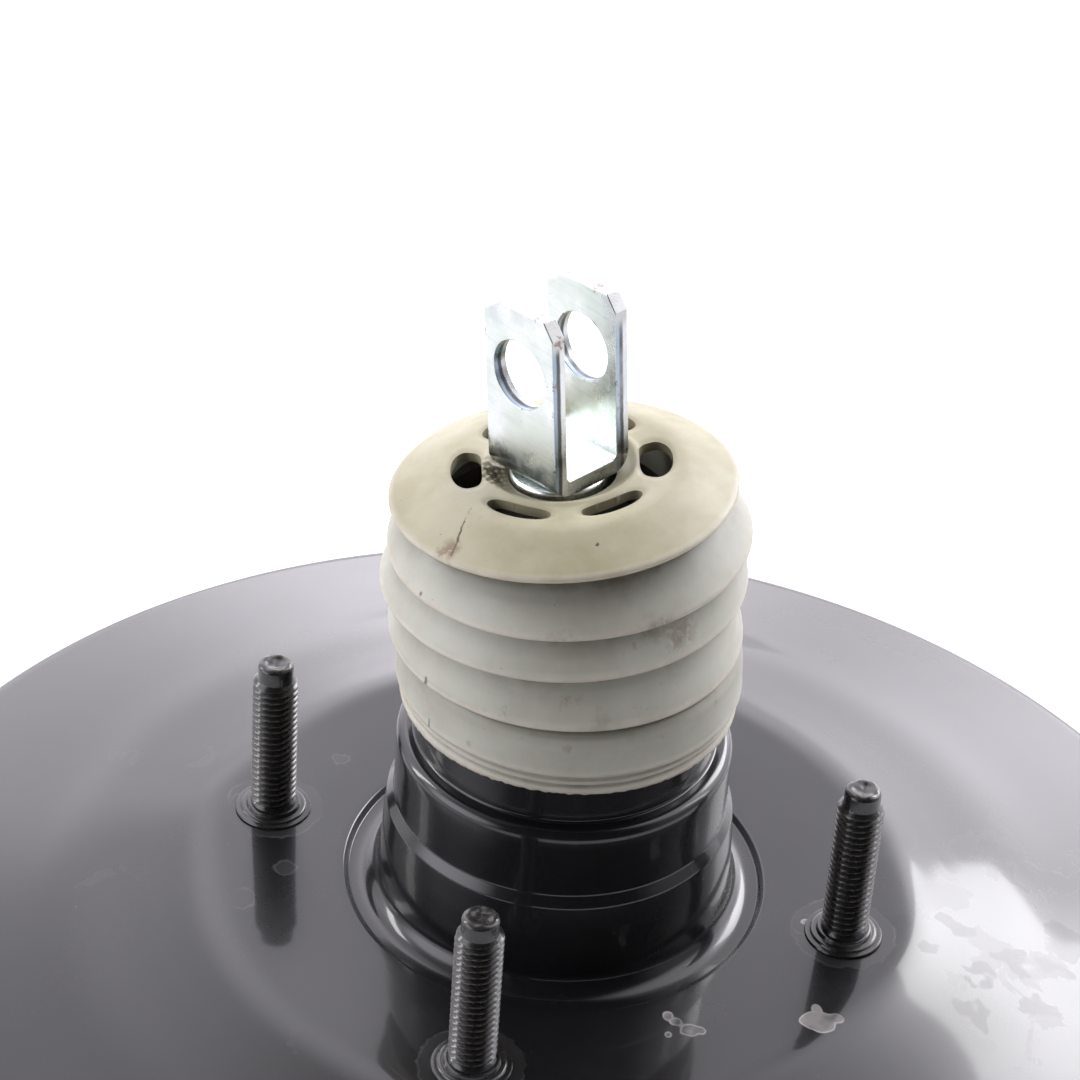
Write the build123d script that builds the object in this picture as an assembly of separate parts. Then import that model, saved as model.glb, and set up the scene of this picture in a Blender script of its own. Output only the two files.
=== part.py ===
from build123d import *
import math
import os

# Single-diaphragm vacuum brake booster, millimetres.
# Origin: booster axis in the plane of the firewall face. +Z runs to the pedal, X and Y along the stud square.

# ---------------------------------------------------------------- driving dimensions
SHEET = 1.8                # shell steel
STUD_SQUARE = 72.0         # firewall stud spacing, both ways
STUD_R = 3.95              # M8 crest radius
SHANK_R = 4.4              # knurled shank pressed through the sheet
STUD_OUT = 31.4            # stud standing out of the firewall face
DOG_R, DOG_LEN = 3.05, 3.2  # dog point of a stud
RIM_R = 129.5              # outside radius of the can
SLOPE = 0.323              # fall of the rear shell outside the plateau, mm per mm
PLATEAU_R = 59.5           # flat part of the rear shell that meets the firewall
NECK_R1, NECK_R2, NECK_R3 = 29.8, 29.4, 28.2   # neck radii from the root upwards
MOAT_R, MOAT_DEPTH = 36.2, 0.95                # shallow groove pressed round the neck's root
SPIGOT_R, SPIGOT_TOP = 25.1, 50.0              # spigot that the boot's cuff grips
SHOULDER_Z = 31.0
TUBE_R = 20.0              # valve body tube
TUBE_TOP = 68.0
STROKE = 20.0              # power piston travel
VALVE_TRAVEL = 1.6         # plunger travel in the valve body
BALL_Z, BALL_R = 30.0, 5.0  # centre and radius of the push rod's ball
LEAN = (-0.0385, 0.0940, 0.9948)   # direction of the push rod as it hangs
ROD_LEN = 51.1             # ball centre to the underside of the clevis
FORK_YAW = 13.1            # direction of the clevis pin about the rod, from +X
FORK_W, FORK_T, FORK_S, FORK_H = 15.6, 16.0, 2.6, 29.3   # ear width, outside width, strip thickness, height
PIN_HOLE_R, PIN_Z = 5.8, 19.9
FRONT_Z = -106.0           # master cylinder face
MC_SPACING = 84.0          # master cylinder stud spacing
MC_STUD_OUT = 30.0
SLEEVE_R, SLEEVE_Z = 20.2, -92.0   # pilot sleeve for the master cylinder's nose
VALVE_Y, VALVE_Z = 82.0, -90.0     # check valve seat on the front shell
EPS = 0.02

os.makedirs("parts", exist_ok=True)


# ---------------------------------------------------------------- helpers
def save(shape, name):
    if isinstance(shape, (list, tuple)):
        shape = Compound(children=[s for s in shape])
    export_step(shape, f"parts/{name}.step")


def face(points, radii=0):
    """Closed profile in the half plane y = 0, given as (radius, z)."""
    pts = [(r, 0, z) for r, z in points]
    if isinstance(radii, (int, float)):
        radii = [radii] * len(pts)
    if any(radii):
        wire = FilletPolyline(*pts, radius=radii, close=True)
    else:
        wire = Polyline(*pts, close=True)
    return make_face(wire)


def turned(points, radii=0):
    return revolve(face(points, radii), axis=Axis.Z)


def sheet(points, radii, thickness):
    """Sheet metal section: the path is one skin, and the sheet lies to the left of it. Ends are square."""
    n = len(points)
    off = []
    orad = []
    for i, (r, z) in enumerate(points):
        dirs = []
        if i > 0:
            a = (r - points[i - 1][0], z - points[i - 1][1])
            dirs.append((a[0] / math.hypot(*a), a[1] / math.hypot(*a)))
        if i < n - 1:
            a = (points[i + 1][0] - r, points[i + 1][1] - z)
            dirs.append((a[0] / math.hypot(*a), a[1] / math.hypot(*a)))
        norms = [(-d[1], d[0]) for d in dirs]
        if len(norms) == 1:
            off.append((r + norms[0][0] * thickness, z + norms[0][1] * thickness))
            orad.append(0)
        else:
            m = (norms[0][0] + norms[1][0], norms[0][1] + norms[1][1])
            k = thickness * 2 / (m[0] ** 2 + m[1] ** 2)
            off.append((r + m[0] * k, z + m[1] * k))
            cross = dirs[0][0] * dirs[1][1] - dirs[0][1] * dirs[1][0]
            if radii[i] <= 0:
                orad.append(0)
            elif cross > 0:      # the sheet is on the inside of the bend
                orad.append(max(radii[i] - thickness, 0.15))
            else:
                orad.append(max(radii[i] + thickness, 0.15))
    radii = list(radii)
    radii[0] = radii[-1] = 0
    return turned(points + off[::-1], radii + orad[::-1])


def tube(r0, r1, z0, z1, x=0.0, y=0.0):
    """Ring from inner radius r0 to outer radius r1; r0 = 0 gives a solid cylinder."""
    body = Pos(x, y, (z0 + z1) / 2) * Cylinder(r1, z1 - z0)
    if r0 > 0:
        body -= Pos(x, y, (z0 + z1) / 2) * Cylinder(r0, z1 - z0 + 2)
    return body


def spring(mean_r, wire_r, z0, z1, turns):
    """Helical spring between two seats, as one solid."""
    h = z1 - z0 - 2 * wire_r
    path = Helix(pitch=h / turns, height=h, radius=mean_r)
    start = path @ 0
    section = Plane(origin=start, z_dir=path % 0) * Circle(wire_r)
    return Pos(0, 0, z0 + wire_r) * sweep(section, path=path, is_frenet=True)


half = STUD_SQUARE / 2
stud_xy = [(sx * half, sy * half) for sx in (-1, 1) for sy in (-1, 1)]
mc_xy = [(-MC_SPACING / 2, 0.0), (MC_SPACING / 2, 0.0)]

# ---------------------------------------------------------------- rear shell
slope_end_z = -SLOPE * (RIM_R - PLATEAU_R)
rear = sheet(
    [
        (RIM_R, -37.0),
        (RIM_R, slope_end_z),
        (PLATEAU_R, 0.0),
        (MOAT_R, 0.0),
        (MOAT_R - 0.9, -MOAT_DEPTH),
        (30.25, -MOAT_DEPTH),
        (NECK_R1, 11.0),
        (NECK_R2, 16.6),
        (NECK_R3, 18.0),
        (NECK_R3, SHOULDER_Z),
        (SPIGOT_R, SHOULDER_Z),
        (SPIGOT_R, SPIGOT_TOP),
    ],
    [0, 5.5, 22.0, 0.7, 0.5, 4.6, 0, 0, 0, 1.85, 0.5, 0],
    SHEET,
)
# eight lances bent in under the front shell's flange
for i in range(8):
    a = 22.5 + 45 * i
    lance = Rot(0, 0, a) * (Pos(RIM_R - SHEET - 0.8, 0, -36.1) * Box(3.4, 16, 1.6))
    rear += lance
for x, y in stud_xy:
    rear -= Pos(x, y, 0) * Cylinder(SHANK_R + EPS, 12)
save(rear, "rear_shell")

# reinforcement plate under the plateau, and the studs pressed through both
plate_z0, plate_z1 = -4.35, -SHEET - 0.03
rear_plate = turned([(38.5, plate_z0), (58.5, plate_z0), (58.5, plate_z1 - 0.5), (55.5, plate_z1), (38.5, plate_z1)])
for x, y in stud_xy:
    rear_plate -= Pos(x, y, -3) * Cylinder(SHANK_R + EPS, 10)
save(rear_plate, "rear_reinforcement_plate")


def stud(top_z, seat_z, face_z, head_h, head_r):
    """Stud along +Z: round clinch head under seat_z, pressed shank up to face_z, threaded length, dog point."""
    shank = tube(0, SHANK_R, seat_z, face_z)
    thread = tube(0, STUD_R, face_z, top_z - DOG_LEN)
    dog = Pos(0, 0, top_z - DOG_LEN / 2 - 0.4) * Cylinder(DOG_R, DOG_LEN + 0.8)
    dog = chamfer(dog.edges().group_by(Axis.Z)[-1], 0.6)
    head = Pos(0, 0, seat_z - head_h / 2) * Cylinder(head_r, head_h)
    return shank + thread + dog + head


one = stud(STUD_OUT, plate_z0 - 0.03, 0.0, 4.2, 7.0)
save([Pos(x, y, 0) * one for x, y in stud_xy], "firewall_studs")

# ---------------------------------------------------------------- front shell
front = sheet(
    [
        (12.5, SLEEVE_Z),
        (SLEEVE_R, SLEEVE_Z),
        (SLEEVE_R, FRONT_Z - 0.03),
        (53.5, FRONT_Z - 0.03),
        (65.0, VALVE_Z),
        (100.0, VALVE_Z),
        (117.5, -64.0),
        (121.0, -35.0),
        (127.4, -35.0),
    ],
    [0, 0.6, 2.2, 5.0, 5.0, 9.0, 12.0, 2.5, 0],
    SHEET,
)
front -= Pos(0, 0, FRONT_Z - 5) * Box(300, 300, 10)      # machined flat for the master cylinder's flange
for x, y in mc_xy:
    front -= Pos(x, y, FRONT_Z) * Cylinder(SHANK_R + EPS, 12)
front -= Pos(0, VALVE_Y, VALVE_Z) * Cylinder(10.2, 12)
save(front, "front_shell")

front_top = FRONT_Z + SHEET + 0.03
front_plate = tube(24.2, 49.0, front_top, front_top + 2.5)
for x, y in mc_xy:
    front_plate -= Pos(x, y, FRONT_Z) * Cylinder(SHANK_R + EPS, 14)
save(front_plate, "front_reinforcement_plate")

mc_len = MC_STUD_OUT
seat = front_top + 2.5 + 0.03
mc_one = tube(0, STUD_R, FRONT_Z - mc_len + 2.6, FRONT_Z) + tube(0, SHANK_R, FRONT_Z, seat)
mc_one += Pos(0, 0, FRONT_Z - mc_len + 1.5) * Cylinder(DOG_R, 3.0)
mc_one += Pos(0, 0, seat + 2.2) * Cylinder(6.6, 4.4)
save([Pos(x, y, 0) * mc_one for x, y in mc_xy], "master_cylinder_studs")

# front seal round the output rod, held in the pilot sleeve's end by a pressed ring
seal_z0 = SLEEVE_Z + SHEET + 0.03
front_seal = turned(
    [(6.06, seal_z0), (17.0, seal_z0), (17.0, seal_z0 + 4.6), (13.5, seal_z0 + 4.6), (12.0, seal_z0 + 1.9),
     (8.2, seal_z0 + 1.9), (7.0, seal_z0 + 4.4), (6.06, seal_z0 + 4.4)],
    [0, 0.4, 0.5, 0.4, 0.6, 0.6, 0.4, 0],
)
save(front_seal, "front_seal")
save(
    sheet([(22.05, SLEEVE_Z + 0.6), (22.05, seal_z0 + 4.7), (9.5, seal_z0 + 4.7)], [0, 1.2, 0], -1.0),
    "front_seal_retainer",
)

# ---------------------------------------------------------------- neck: retainer, lip seal, guide bush
neck_in = NECK_R3 - SHEET - 0.05
save(tube(21.5, neck_in, 18.25, 19.15), "neck_seal_retainer")
save(
    turned(
        [(neck_in, 19.2), (neck_in, 24.9), (22.6, 24.9), (21.6, 24.2), (TUBE_R + 0.06, 24.2), (TUBE_R + 0.06, 23.2),
         (22.0, 22.6), (22.0, 21.2), (TUBE_R + 0.06, 20.6), (TUBE_R + 0.06, 19.6), (21.2, 19.2)],
    ),
    "neck_seal",
)
save(
    turned(
        [(TUBE_R + 0.05, 25.0), (neck_in, 25.0), (neck_in, 28.9), (22.9, 28.9), (22.9, 33.5), (TUBE_R + 0.05, 33.5)],
        [0, 0, 0.3, 0.3, 0.3, 0.3],
    ),
    "neck_guide_bush",
)

# ---------------------------------------------------------------- power piston
HUB_Z = -14.4            # plate seat on the hub
seat_z = 34.4            # vacuum seat for the poppet valve
valve_body = turned(
    [
        (4.2, -26.5), (11.0, -26.5), (11.0, -41.0), (16.8, -41.0), (16.8, -27.5), (24.4, -27.5), (24.4, -18.4),
        (36.0, -18.4), (36.0, HUB_Z), (22.2, HUB_Z), (22.2, -11.4), (24.0, -10.8), (24.0, -8.8), (TUBE_R, -8.0),
        (TUBE_R, TUBE_TOP), (16.4, TUBE_TOP), (16.4, seat_z - 3.0), (13.6, seat_z - 3.0), (13.6, seat_z),
        (12.4, seat_z), (12.4, 19.0), (10.0, 18.0), (7.1, 17.0), (7.1, -14.0), (4.2, -14.0),
    ],
)
# air and vacuum ports: two arcs of holes beside the bore, and the key slot across the hub
for a in (60, 120, 240, 300):
    valve_body -= Rot(0, 0, a) * (Pos(14.6, 0, 5.0) * Cylinder(1.7, 60))
for a in (90, 270):
    valve_body -= Rot(0, 0, a) * (Pos(14.0, 0, -2.5) * Rot(0, 90, 0) * Cylinder(2.6, 16))
key_z = -3.2
valve_body -= Pos(12.0, 0, key_z) * Box(30, 9.2, 4.6)
save(valve_body, "valve_body")

save(
    sheet(
        [(106.5, -27.2), (64.0, HUB_Z + 0.03), (24.6, HUB_Z + 0.03)],
        [0, 14.0, 0],
        -1.2,
    ),
    "diaphragm_plate",
)

# diaphragm: bead in the rim, rolling fold, web on the plate, lip in the hub's groove
web = [(24.4, -10.9), (26.0, -10.9), (64.0, -10.9), (108.0, -23.9), (113.2, -33.4), (116.2, -33.4), (120.0, -25.0), (122.5, -25.0)]
membrane = sheet(web, [0, 0, 14.0, 3.5, 1.3, 1.3, 2.2, 0], -1.9)
bead = turned([(121.6, -33.15), (127.4, -33.15), (127.4, -27.5), (125.2, -23.7), (121.6, -22.2)], [0, 0.5, 0.5, 0.8, 0.8])
lip = turned([(22.3, -13.1), (27.0, -13.1), (26.4, -8.6), (24.2, -8.2), (24.2, -11.1), (22.3, -11.75)])
diaphragm = membrane + bead + lip
save(diaphragm, "diaphragm")

save(tube(0, 10.95, -33.0, -26.6), "reaction_disc")

rod = turned([(0, -33.1), (10.9, -33.1), (10.9, -36.6), (7.0, -37.4), (5.6, -40.0), (5.6, -82.0), (6.0, -84.0), (6.0, -100.0),
              (2.6, -100.0), (2.6, -88.0), (0, -88.0)])
save(rod, "output_rod")
adjuster = turned([(0, -88.1), (2.55, -88.1), (2.55, -100.1), (5.4, -100.1), (5.4, -104.6), (4.0, -104.6), (4.0, -114.0), (0, -114.0)],
                  [0, 0, 0, 0.4, 0.4, 0, 1.2, 0])
save(adjuster, "output_rod_adjuster")
save(
    sheet([(6.3, -41.06), (16.9, -41.06), (16.9, -32.5)], [0, 0, 0], -0.9),
    "output_rod_retainer",
)
save(spring(26.9, 1.9, front_top + 2.55, -18.45, 6.5), "return_spring")

# ---------------------------------------------------------------- air valve plunger, key, ball socket
plunger = turned(
    [
        (0, -24.9), (4.12, -24.9), (4.12, -12.2), (7.04, -12.2), (7.04, -6.6), (5.2, -6.6), (5.2, 0.4), (7.04, 0.4),
        (7.04, 19.5), (9.0, 22.0), (9.0, 32.6), (10.2, 33.4), (10.2, seat_z), (0, seat_z),
    ],
)
ball_c = (0, 0, BALL_Z)
socket_r = BALL_R + 1.3
plunger -= Pos(*ball_c) * Sphere(socket_r + 0.05)
plunger -= Pos(0, 0, BALL_Z + 5) * Cylinder(5.6, 10)
save(plunger, "plunger")

liner = Pos(*ball_c) * Sphere(socket_r) - Pos(*ball_c) * Sphere(BALL_R + 0.05)
liner -= Pos(0, 0, BALL_Z + 7.3) * Cylinder(9, 10)      # open above z = ball + 2.3
liner -= Pos(0, 0, BALL_Z - 8.6) * Cylinder(2.0, 8)
save(liner, "ball_socket")

# key: horseshoe strip in the plunger's groove, running out through the hub's slot
key = Pos(11.6, 0, key_z) * Box(26.8, 8.6, 3.4)
key = key - (Pos(0, 0, key_z) * Cylinder(5.3, 6)) - (Pos(-6, 0, key_z) * Box(12, 10.6, 6))
save(key, "stop_key")

# ---------------------------------------------------------------- poppet valve and its springs
save(
    turned(
        [(7.6, seat_z + 0.06), (14.6, seat_z + 0.06), (14.6, seat_z + 2.6), (12.2, seat_z + 2.8), (12.2, 44.0), (14.0, 46.2),
         (16.3, 46.8), (16.3, 50.0), (13.2, 50.0), (13.2, 48.2), (10.9, 46.4), (10.9, seat_z + 2.2), (7.6, seat_z + 2.2)],
        [0.2, 0.5, 0.3, 0.4, 0.5, 0.5, 0.3, 0.3, 0.2, 0.4, 0.4, 0.4, 0.3],
    ),
    "poppet_valve",
)
save(
    sheet([(8.8, 51.2), (16.3, 51.2), (16.3, 58.0)], [0, 0.8, 0], 1.0),
    "poppet_retainer",
)
save(spring(13.3, 0.5, seat_z + 2.9, 44.4, 3.5), "poppet_spring")

# ---------------------------------------------------------------- push rod, spring seat, clevis (all on the leaning rod)
wz = Vector(*LEAN).normalized()
yaw = math.radians(FORK_YAW)
ux = Vector(math.cos(yaw), math.sin(yaw), 0)
ux = (ux - wz * ux.dot(wz)).normalized()
rod_plane = Plane(origin=(0, 0, BALL_Z), x_dir=ux, z_dir=wz)

rod_body = turned(
    [
        (0, 0.0), (3.3, 0.0), (3.3, 9.0), (4.4, 11.5), (4.4, 30.0), (6.2, 30.3), (6.2, 31.6), (4.4, 32.0), (4.4, ROD_LEN - 3.4),
        (8.0, ROD_LEN - 2.9), (8.0, ROD_LEN - 0.02), (0, ROD_LEN - 0.02),
    ],
)
rod_body += Sphere(BALL_R)
save(rod_plane * rod_body, "push_rod")

seat_ring = turned([(4.46, 28.1), (9.8, 28.1), (9.8, 29.3), (6.4, 29.3), (6.4, 29.95), (4.46, 29.95)])
save(rod_plane * seat_ring, "rod_spring_seat")

# clevis: a strip bent into a U, ears with cropped corners and a pin hole
u_out = Pos(0, 0, ROD_LEN + FORK_H / 2) * Box(FORK_T, FORK_W, FORK_H)
u_out = fillet(
    [e for e in u_out.edges().filter_by(Axis.Y) if e.center().Z < ROD_LEN + 1], 3.4
)
u_in = Pos(0, 0, ROD_LEN + FORK_S + FORK_H / 2) * Box(FORK_T - 2 * FORK_S, FORK_W + 2, FORK_H)
u_in = fillet(
    [e for e in u_in.edges().filter_by(Axis.Y) if e.center().Z < ROD_LEN + FORK_S + 1], 0.9
)
fork = u_out - u_in
crop = 3.0
for s in (-1, 1):
    fork -= Pos(0, s * FORK_W / 2, ROD_LEN + FORK_H) * Rot(45, 0, 0) * Box(40, crop * math.sqrt(2), crop * math.sqrt(2))
fork -= Pos(0, 0, ROD_LEN + PIN_Z) * Rot(0, 90, 0) * Cylinder(PIN_HOLE_R, 40)
save(rod_plane * fork, "clevis")

# return spring between the poppet retainer and the seat on the rod
save(rod_plane * spring(8.6, 0.7, 23.35, 28.05, 2.5), "rod_return_spring")

# filter ring and its end cap in the mouth of the tube
save(tube(11.8, 16.2, 60.6, 65.4), "air_filter")
cap_ring = tube(10.8, 16.3, 65.5, 67.3)
for a in range(0, 360, 60):
    cap_ring -= Rot(0, 0, a) * (Pos(13.6, 0, 66.5) * Cylinder(1.5, 6))
save(cap_ring, "filter_cap")

# ---------------------------------------------------------------- dust boot
# Stations: height, outer radius. Folds are cones that flare downwards over the next one.
# The rod leans, so the upper rings sit off the booster's axis and tip a little.
BOOT_LINE = [  # height, centre x, y, and the tip of the ring's normal in x, y
    (38.0, 0.0, 0.0, 0.0, 0.0), (50.6, 0.0, 0.0, 0.0, 0.0), (52.35, -0.61, 1.48, -0.012, 0.012), (61.9, -1.02, 2.50, -0.045, 0.034),
    (69.9, -0.80, 1.94, -0.074, 0.046), (78.0, -1.55, 3.95, -0.072, 0.098), (84.0, -1.8, 4.4, -0.072, 0.098)]


def along(z, k):
    for low, high in zip(BOOT_LINE[:-1], BOOT_LINE[1:]):
        if z <= high[0]:
            t = (z - low[0]) / (high[0] - low[0])
            return low[k] + (high[k] - low[k]) * t
    return BOOT_LINE[-1][k]


def station(z, r):
    n = Vector(along(z, 3), along(z, 4), 1).normalized()
    return Plane(origin=(along(z, 1), along(z, 2), z), z_dir=n, x_dir=Vector(1, 0, 0) - n * n.X) * Circle(r)


outer = [(39.0, 27.9), (42.6, 28.0), (43.4, 28.6), (50.4, 28.3), (51.9, 27.0), (53.2, 29.1), (60.8, 28.0), (61.4, 27.8), (62.8, 29.9), (68.6, 28.0),
         (69.3, 27.6), (70.8, 29.3), (75.2, 24.8), (77.0, 25.2), (77.7, 28.0), (78.5, 27.8), (81.9, 20.2), (82.4, 18.0)]
inner = [(38.0, 25.25), (50.4, 25.25), (51.8, 25.0), (53.6, 27.2), (60.6, 26.2), (61.8, 26.2), (63.0, 27.4), (68.4, 26.2), (69.6, 26.0), (71.0, 26.8),
         (75.2, 22.6), (76.8, 23.2), (78.4, 24.6), (80.2, 19.6), (80.5, 11.5)]
boot = loft([station(z, r) for z, r in outer], ruled=True)
cavity = loft([station(z, r) for z, r in inner], ruled=True)
boot = boot - cavity
# hole for the push rod, and six breather slots in the cap
boot -= rod_plane * (Pos(0, 0, 50) * Cylinder(8.75, 16))
boot -= rod_plane * (Pos(0, 0, ROD_LEN - 0.3 + 8) * Cylinder(11.6, 16))      # recess round the fork
for i in range(6):
    boot -= rod_plane * (Rot(0, 0, 32 + 60 * i) * (Pos(15.4, 0, 50) * Box(4.0, 9.0, 12)))
save(boot, "dust_boot")

# ---------------------------------------------------------------- vacuum check valve on the front shell
vy, vz = VALVE_Y, VALVE_Z
grommet = Pos(0, vy, 0) * turned(
    [(6.55, vz + 5.4), (10.6, vz + 5.4), (12.4, vz + 3.9), (12.4, vz + SHEET + 0.05), (10.15, vz + SHEET + 0.05),
     (10.15, vz - 0.05), (13.6, vz - 0.05), (13.6, vz - 2.8), (6.55, vz - 2.8)],
    [0, 0.8, 0.8, 0, 0, 0, 0.6, 0.6, 0],
)
save(grommet, "check_valve_grommet")
base = Pos(0, vy, 0) * turned(
    [(3.4, vz + 10.0), (5.6, vz + 10.0), (7.6, vz + 5.5), (6.5, vz + 5.5), (6.5, vz - 2.9), (12.6, vz - 2.9), (12.6, vz - 4.6),
     (3.4, vz - 4.6)],
)
save(base, "check_valve_base")
noz_z = vz - 11.5
cover = Pos(0, vy, 0) * turned(
    [(0, vz - 16.6), (9.6, vz - 16.6), (12.0, vz - 14.4), (12.6, vz - 4.66), (9.2, vz - 4.66), (9.2, vz - 14.0), (0, vz - 14.0)],
    [0, 1.2, 1.2, 0, 0, 1.0, 0],
)
boss = Pos(0, vy + 10.4, noz_z) * Rot(90, 0, 0) * Cylinder(5.0, 6.0)
nozzle = Pos(0, vy + 19.0, noz_z) * Rot(90, 0, 0) * Cylinder(4.3, 24.0)
nozzle = chamfer(nozzle.edges().group_by(Axis.Y)[-1], 0.8)
cover = cover + boss + nozzle
cover -= Pos(0, vy + 21.0, noz_z) * Rot(90, 0, 0) * Cylinder(2.9, 28.0)
save(cover, "check_valve_cover")
save(Pos(0, vy, 0) * turned([(0, vz - 4.72), (5.6, vz - 4.72), (5.6, vz - 6.4), (2.6, vz - 6.4), (2.6, vz - 9.0), (0, vz - 9.0)],
                            [0, 0.3, 0.3, 0.3, 0.3, 0]), "check_valve_poppet")
save(Pos(0, vy, 0) * spring(4.2, 0.35, vz - 13.9, vz - 6.5, 4), "check_valve_spring")
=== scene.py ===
import math

import bmesh
import bpy
import numpy as np
from mathutils import Matrix, Vector


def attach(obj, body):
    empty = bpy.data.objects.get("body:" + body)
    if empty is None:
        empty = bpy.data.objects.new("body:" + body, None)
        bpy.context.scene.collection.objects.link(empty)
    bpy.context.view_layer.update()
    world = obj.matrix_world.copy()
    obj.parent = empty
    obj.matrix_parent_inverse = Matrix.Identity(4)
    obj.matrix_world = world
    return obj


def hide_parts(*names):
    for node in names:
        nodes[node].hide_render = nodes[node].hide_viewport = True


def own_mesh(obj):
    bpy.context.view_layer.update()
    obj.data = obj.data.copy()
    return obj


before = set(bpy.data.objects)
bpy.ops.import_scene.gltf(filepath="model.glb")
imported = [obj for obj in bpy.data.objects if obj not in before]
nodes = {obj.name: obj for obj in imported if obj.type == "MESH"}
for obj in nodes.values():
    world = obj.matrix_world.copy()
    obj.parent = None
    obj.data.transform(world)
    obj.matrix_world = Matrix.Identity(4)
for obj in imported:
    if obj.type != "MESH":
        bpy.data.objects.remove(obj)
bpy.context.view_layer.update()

MM = 0.001
TAU = 2 * math.pi
rng = np.random.default_rng(7)


# ------------------------------------------------------------------ mesh helpers (millimetres in, metres out)
def smoothstep(a, b, x):
    t = np.clip((np.asarray(x, float) - a) / (b - a), 0, 1)
    return t * t * (3 - 2 * t)


def rounded(points, radii, seg=7, step=1.6):
    """Polyline (r, z) with rounded corners and evenly divided straight runs."""
    pts = [np.array(p, float) for p in points]
    out = [pts[0]]
    for i in range(1, len(pts)):
        last = i == len(pts) - 1
        rad = 0 if last else radii[i]
        if rad <= 0:
            start, arc = pts[i], [pts[i]]
        else:
            a = pts[i - 1] - pts[i]
            b = pts[i + 1] - pts[i]
            a, b = a / np.hypot(*a), b / np.hypot(*b)
            half = math.acos(max(-1, min(1, float(a @ b)))) / 2
            reach = rad / math.tan(half)
            mid = (a + b) / np.hypot(*(a + b))
            c = pts[i] + mid * rad / math.sin(half)
            p0, p1 = pts[i] + a * reach, pts[i] + b * reach
            a0 = math.atan2(*(p0 - c)[::-1])
            a1 = math.atan2(*(p1 - c)[::-1])
            turn = (a1 - a0 + math.pi) % TAU - math.pi
            arc = [c + rad * np.array([math.cos(a0 + turn * k / seg), math.sin(a0 + turn * k / seg)]) for k in range(seg + 1)]
            start = arc[0]
        n = max(1, int(math.ceil(np.hypot(*(start - out[-1])) / step)))
        prev = out[-1]
        out += [prev + (start - prev) * k / n for k in range(1, n)] + arc
    return np.array(out)


def offset_path(points, radii, t):
    """The same path, moved to its left by t, with its corner radii to suit."""
    off, rad = [], []
    n = len(points)
    for i, p in enumerate(points):
        dirs = []
        if i > 0:
            dirs.append(np.subtract(p, points[i - 1]))
        if i < n - 1:
            dirs.append(np.subtract(points[i + 1], p))
        dirs = [d / np.hypot(*d) for d in dirs]
        norm = [np.array([-d[1], d[0]]) for d in dirs]
        if len(norm) == 1:
            off.append(np.array(p) + norm[0] * t)
            rad.append(0)
            continue
        m = norm[0] + norm[1]
        off.append(np.array(p) + m * 2 * t / float(m @ m))
        cross = dirs[0][0] * dirs[1][1] - dirs[0][1] * dirs[1][0]
        rad.append(0 if radii[i] <= 0 else max(0.15, radii[i] - t) if cross > 0 else radii[i] + t)
    return off, rad


def paired(points, radii, t, seg=7, step=1.6):
    """Two skins of a sheet with the same number of points."""
    outer = rounded(points, radii, seg, 1e9)
    off, rad = offset_path(points, radii, t)
    inner = rounded(off, rad, seg, 1e9)
    a, b = [outer[0]], [inner[0]]
    for k in range(1, len(outer)):
        n = max(1, int(math.ceil(np.hypot(*(outer[k] - outer[k - 1])) / step)))
        for s in range(1, n + 1):
            a.append(outer[k - 1] + (outer[k] - outer[k - 1]) * s / n)
            b.append(inner[k - 1] + (inner[k] - inner[k - 1]) * s / n)
    return np.array(a), np.array(b)


def grid_faces(nu, nv, wrap_u=False, wrap_v=False, base=0):
    iu = np.arange(nu if wrap_u else nu - 1)
    iv = np.arange(nv if wrap_v else nv - 1)
    u, v = np.meshgrid(iu, iv, indexing="ij")
    u, v = u.ravel(), v.ravel()
    u1, v1 = (u + 1) % nu, (v + 1) % nv
    return np.stack([u * nv + v, u1 * nv + v, u1 * nv + v1, u * nv + v1], 1) + base


def make(name, verts, faces, material, body, slot=None, replaces=(), angle=34, merge=0.0, attributes=None, flip=False):
    me = bpy.data.meshes.new(name)
    me.from_pydata((np.asarray(verts, float) * MM).tolist(), [], [list(map(int, f)) for f in faces])
    if attributes:
        for key, values in attributes.items():
            at = me.attributes.new(key, "FLOAT", "POINT")
            at.data.foreach_set("value", np.asarray(values, np.float32))
    bm = bmesh.new()
    bm.from_mesh(me)
    if merge:
        bmesh.ops.remove_doubles(bm, verts=bm.verts, dist=merge * MM)
        bmesh.ops.dissolve_degenerate(bm, edges=bm.edges, dist=1e-8)
    bmesh.ops.recalc_face_normals(bm, faces=bm.faces)
    if flip:
        bmesh.ops.reverse_faces(bm, faces=bm.faces)
    bm.to_mesh(me)
    bm.free()
    me.shade_smooth()
    me.set_sharp_from_angle(angle=math.radians(angle))
    me.materials.append(material)
    ob = bpy.data.objects.new(name, me)
    bpy.context.scene.collection.objects.link(ob)
    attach(ob, body)
    if replaces:
        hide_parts(*replaces)
    return ob


def spin(path, n, warp=None, x=0.0, y=0.0, closed=True):
    """Verts and faces of a profile (r, z) turned about the vertical through (x, y)."""
    t = np.arange(n) / n * TAU
    r = np.repeat(path[None, :, 0], n, 0)
    z = np.repeat(path[None, :, 1], n, 0)
    th = np.repeat(t[:, None], len(path), 1)
    if warp is not None:
        r, z = warp(r, z, th)
    v = np.stack([x + r * np.cos(th), y + r * np.sin(th), z], -1).reshape(-1, 3)
    return v, grid_faces(n, len(path), True, closed)


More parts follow.
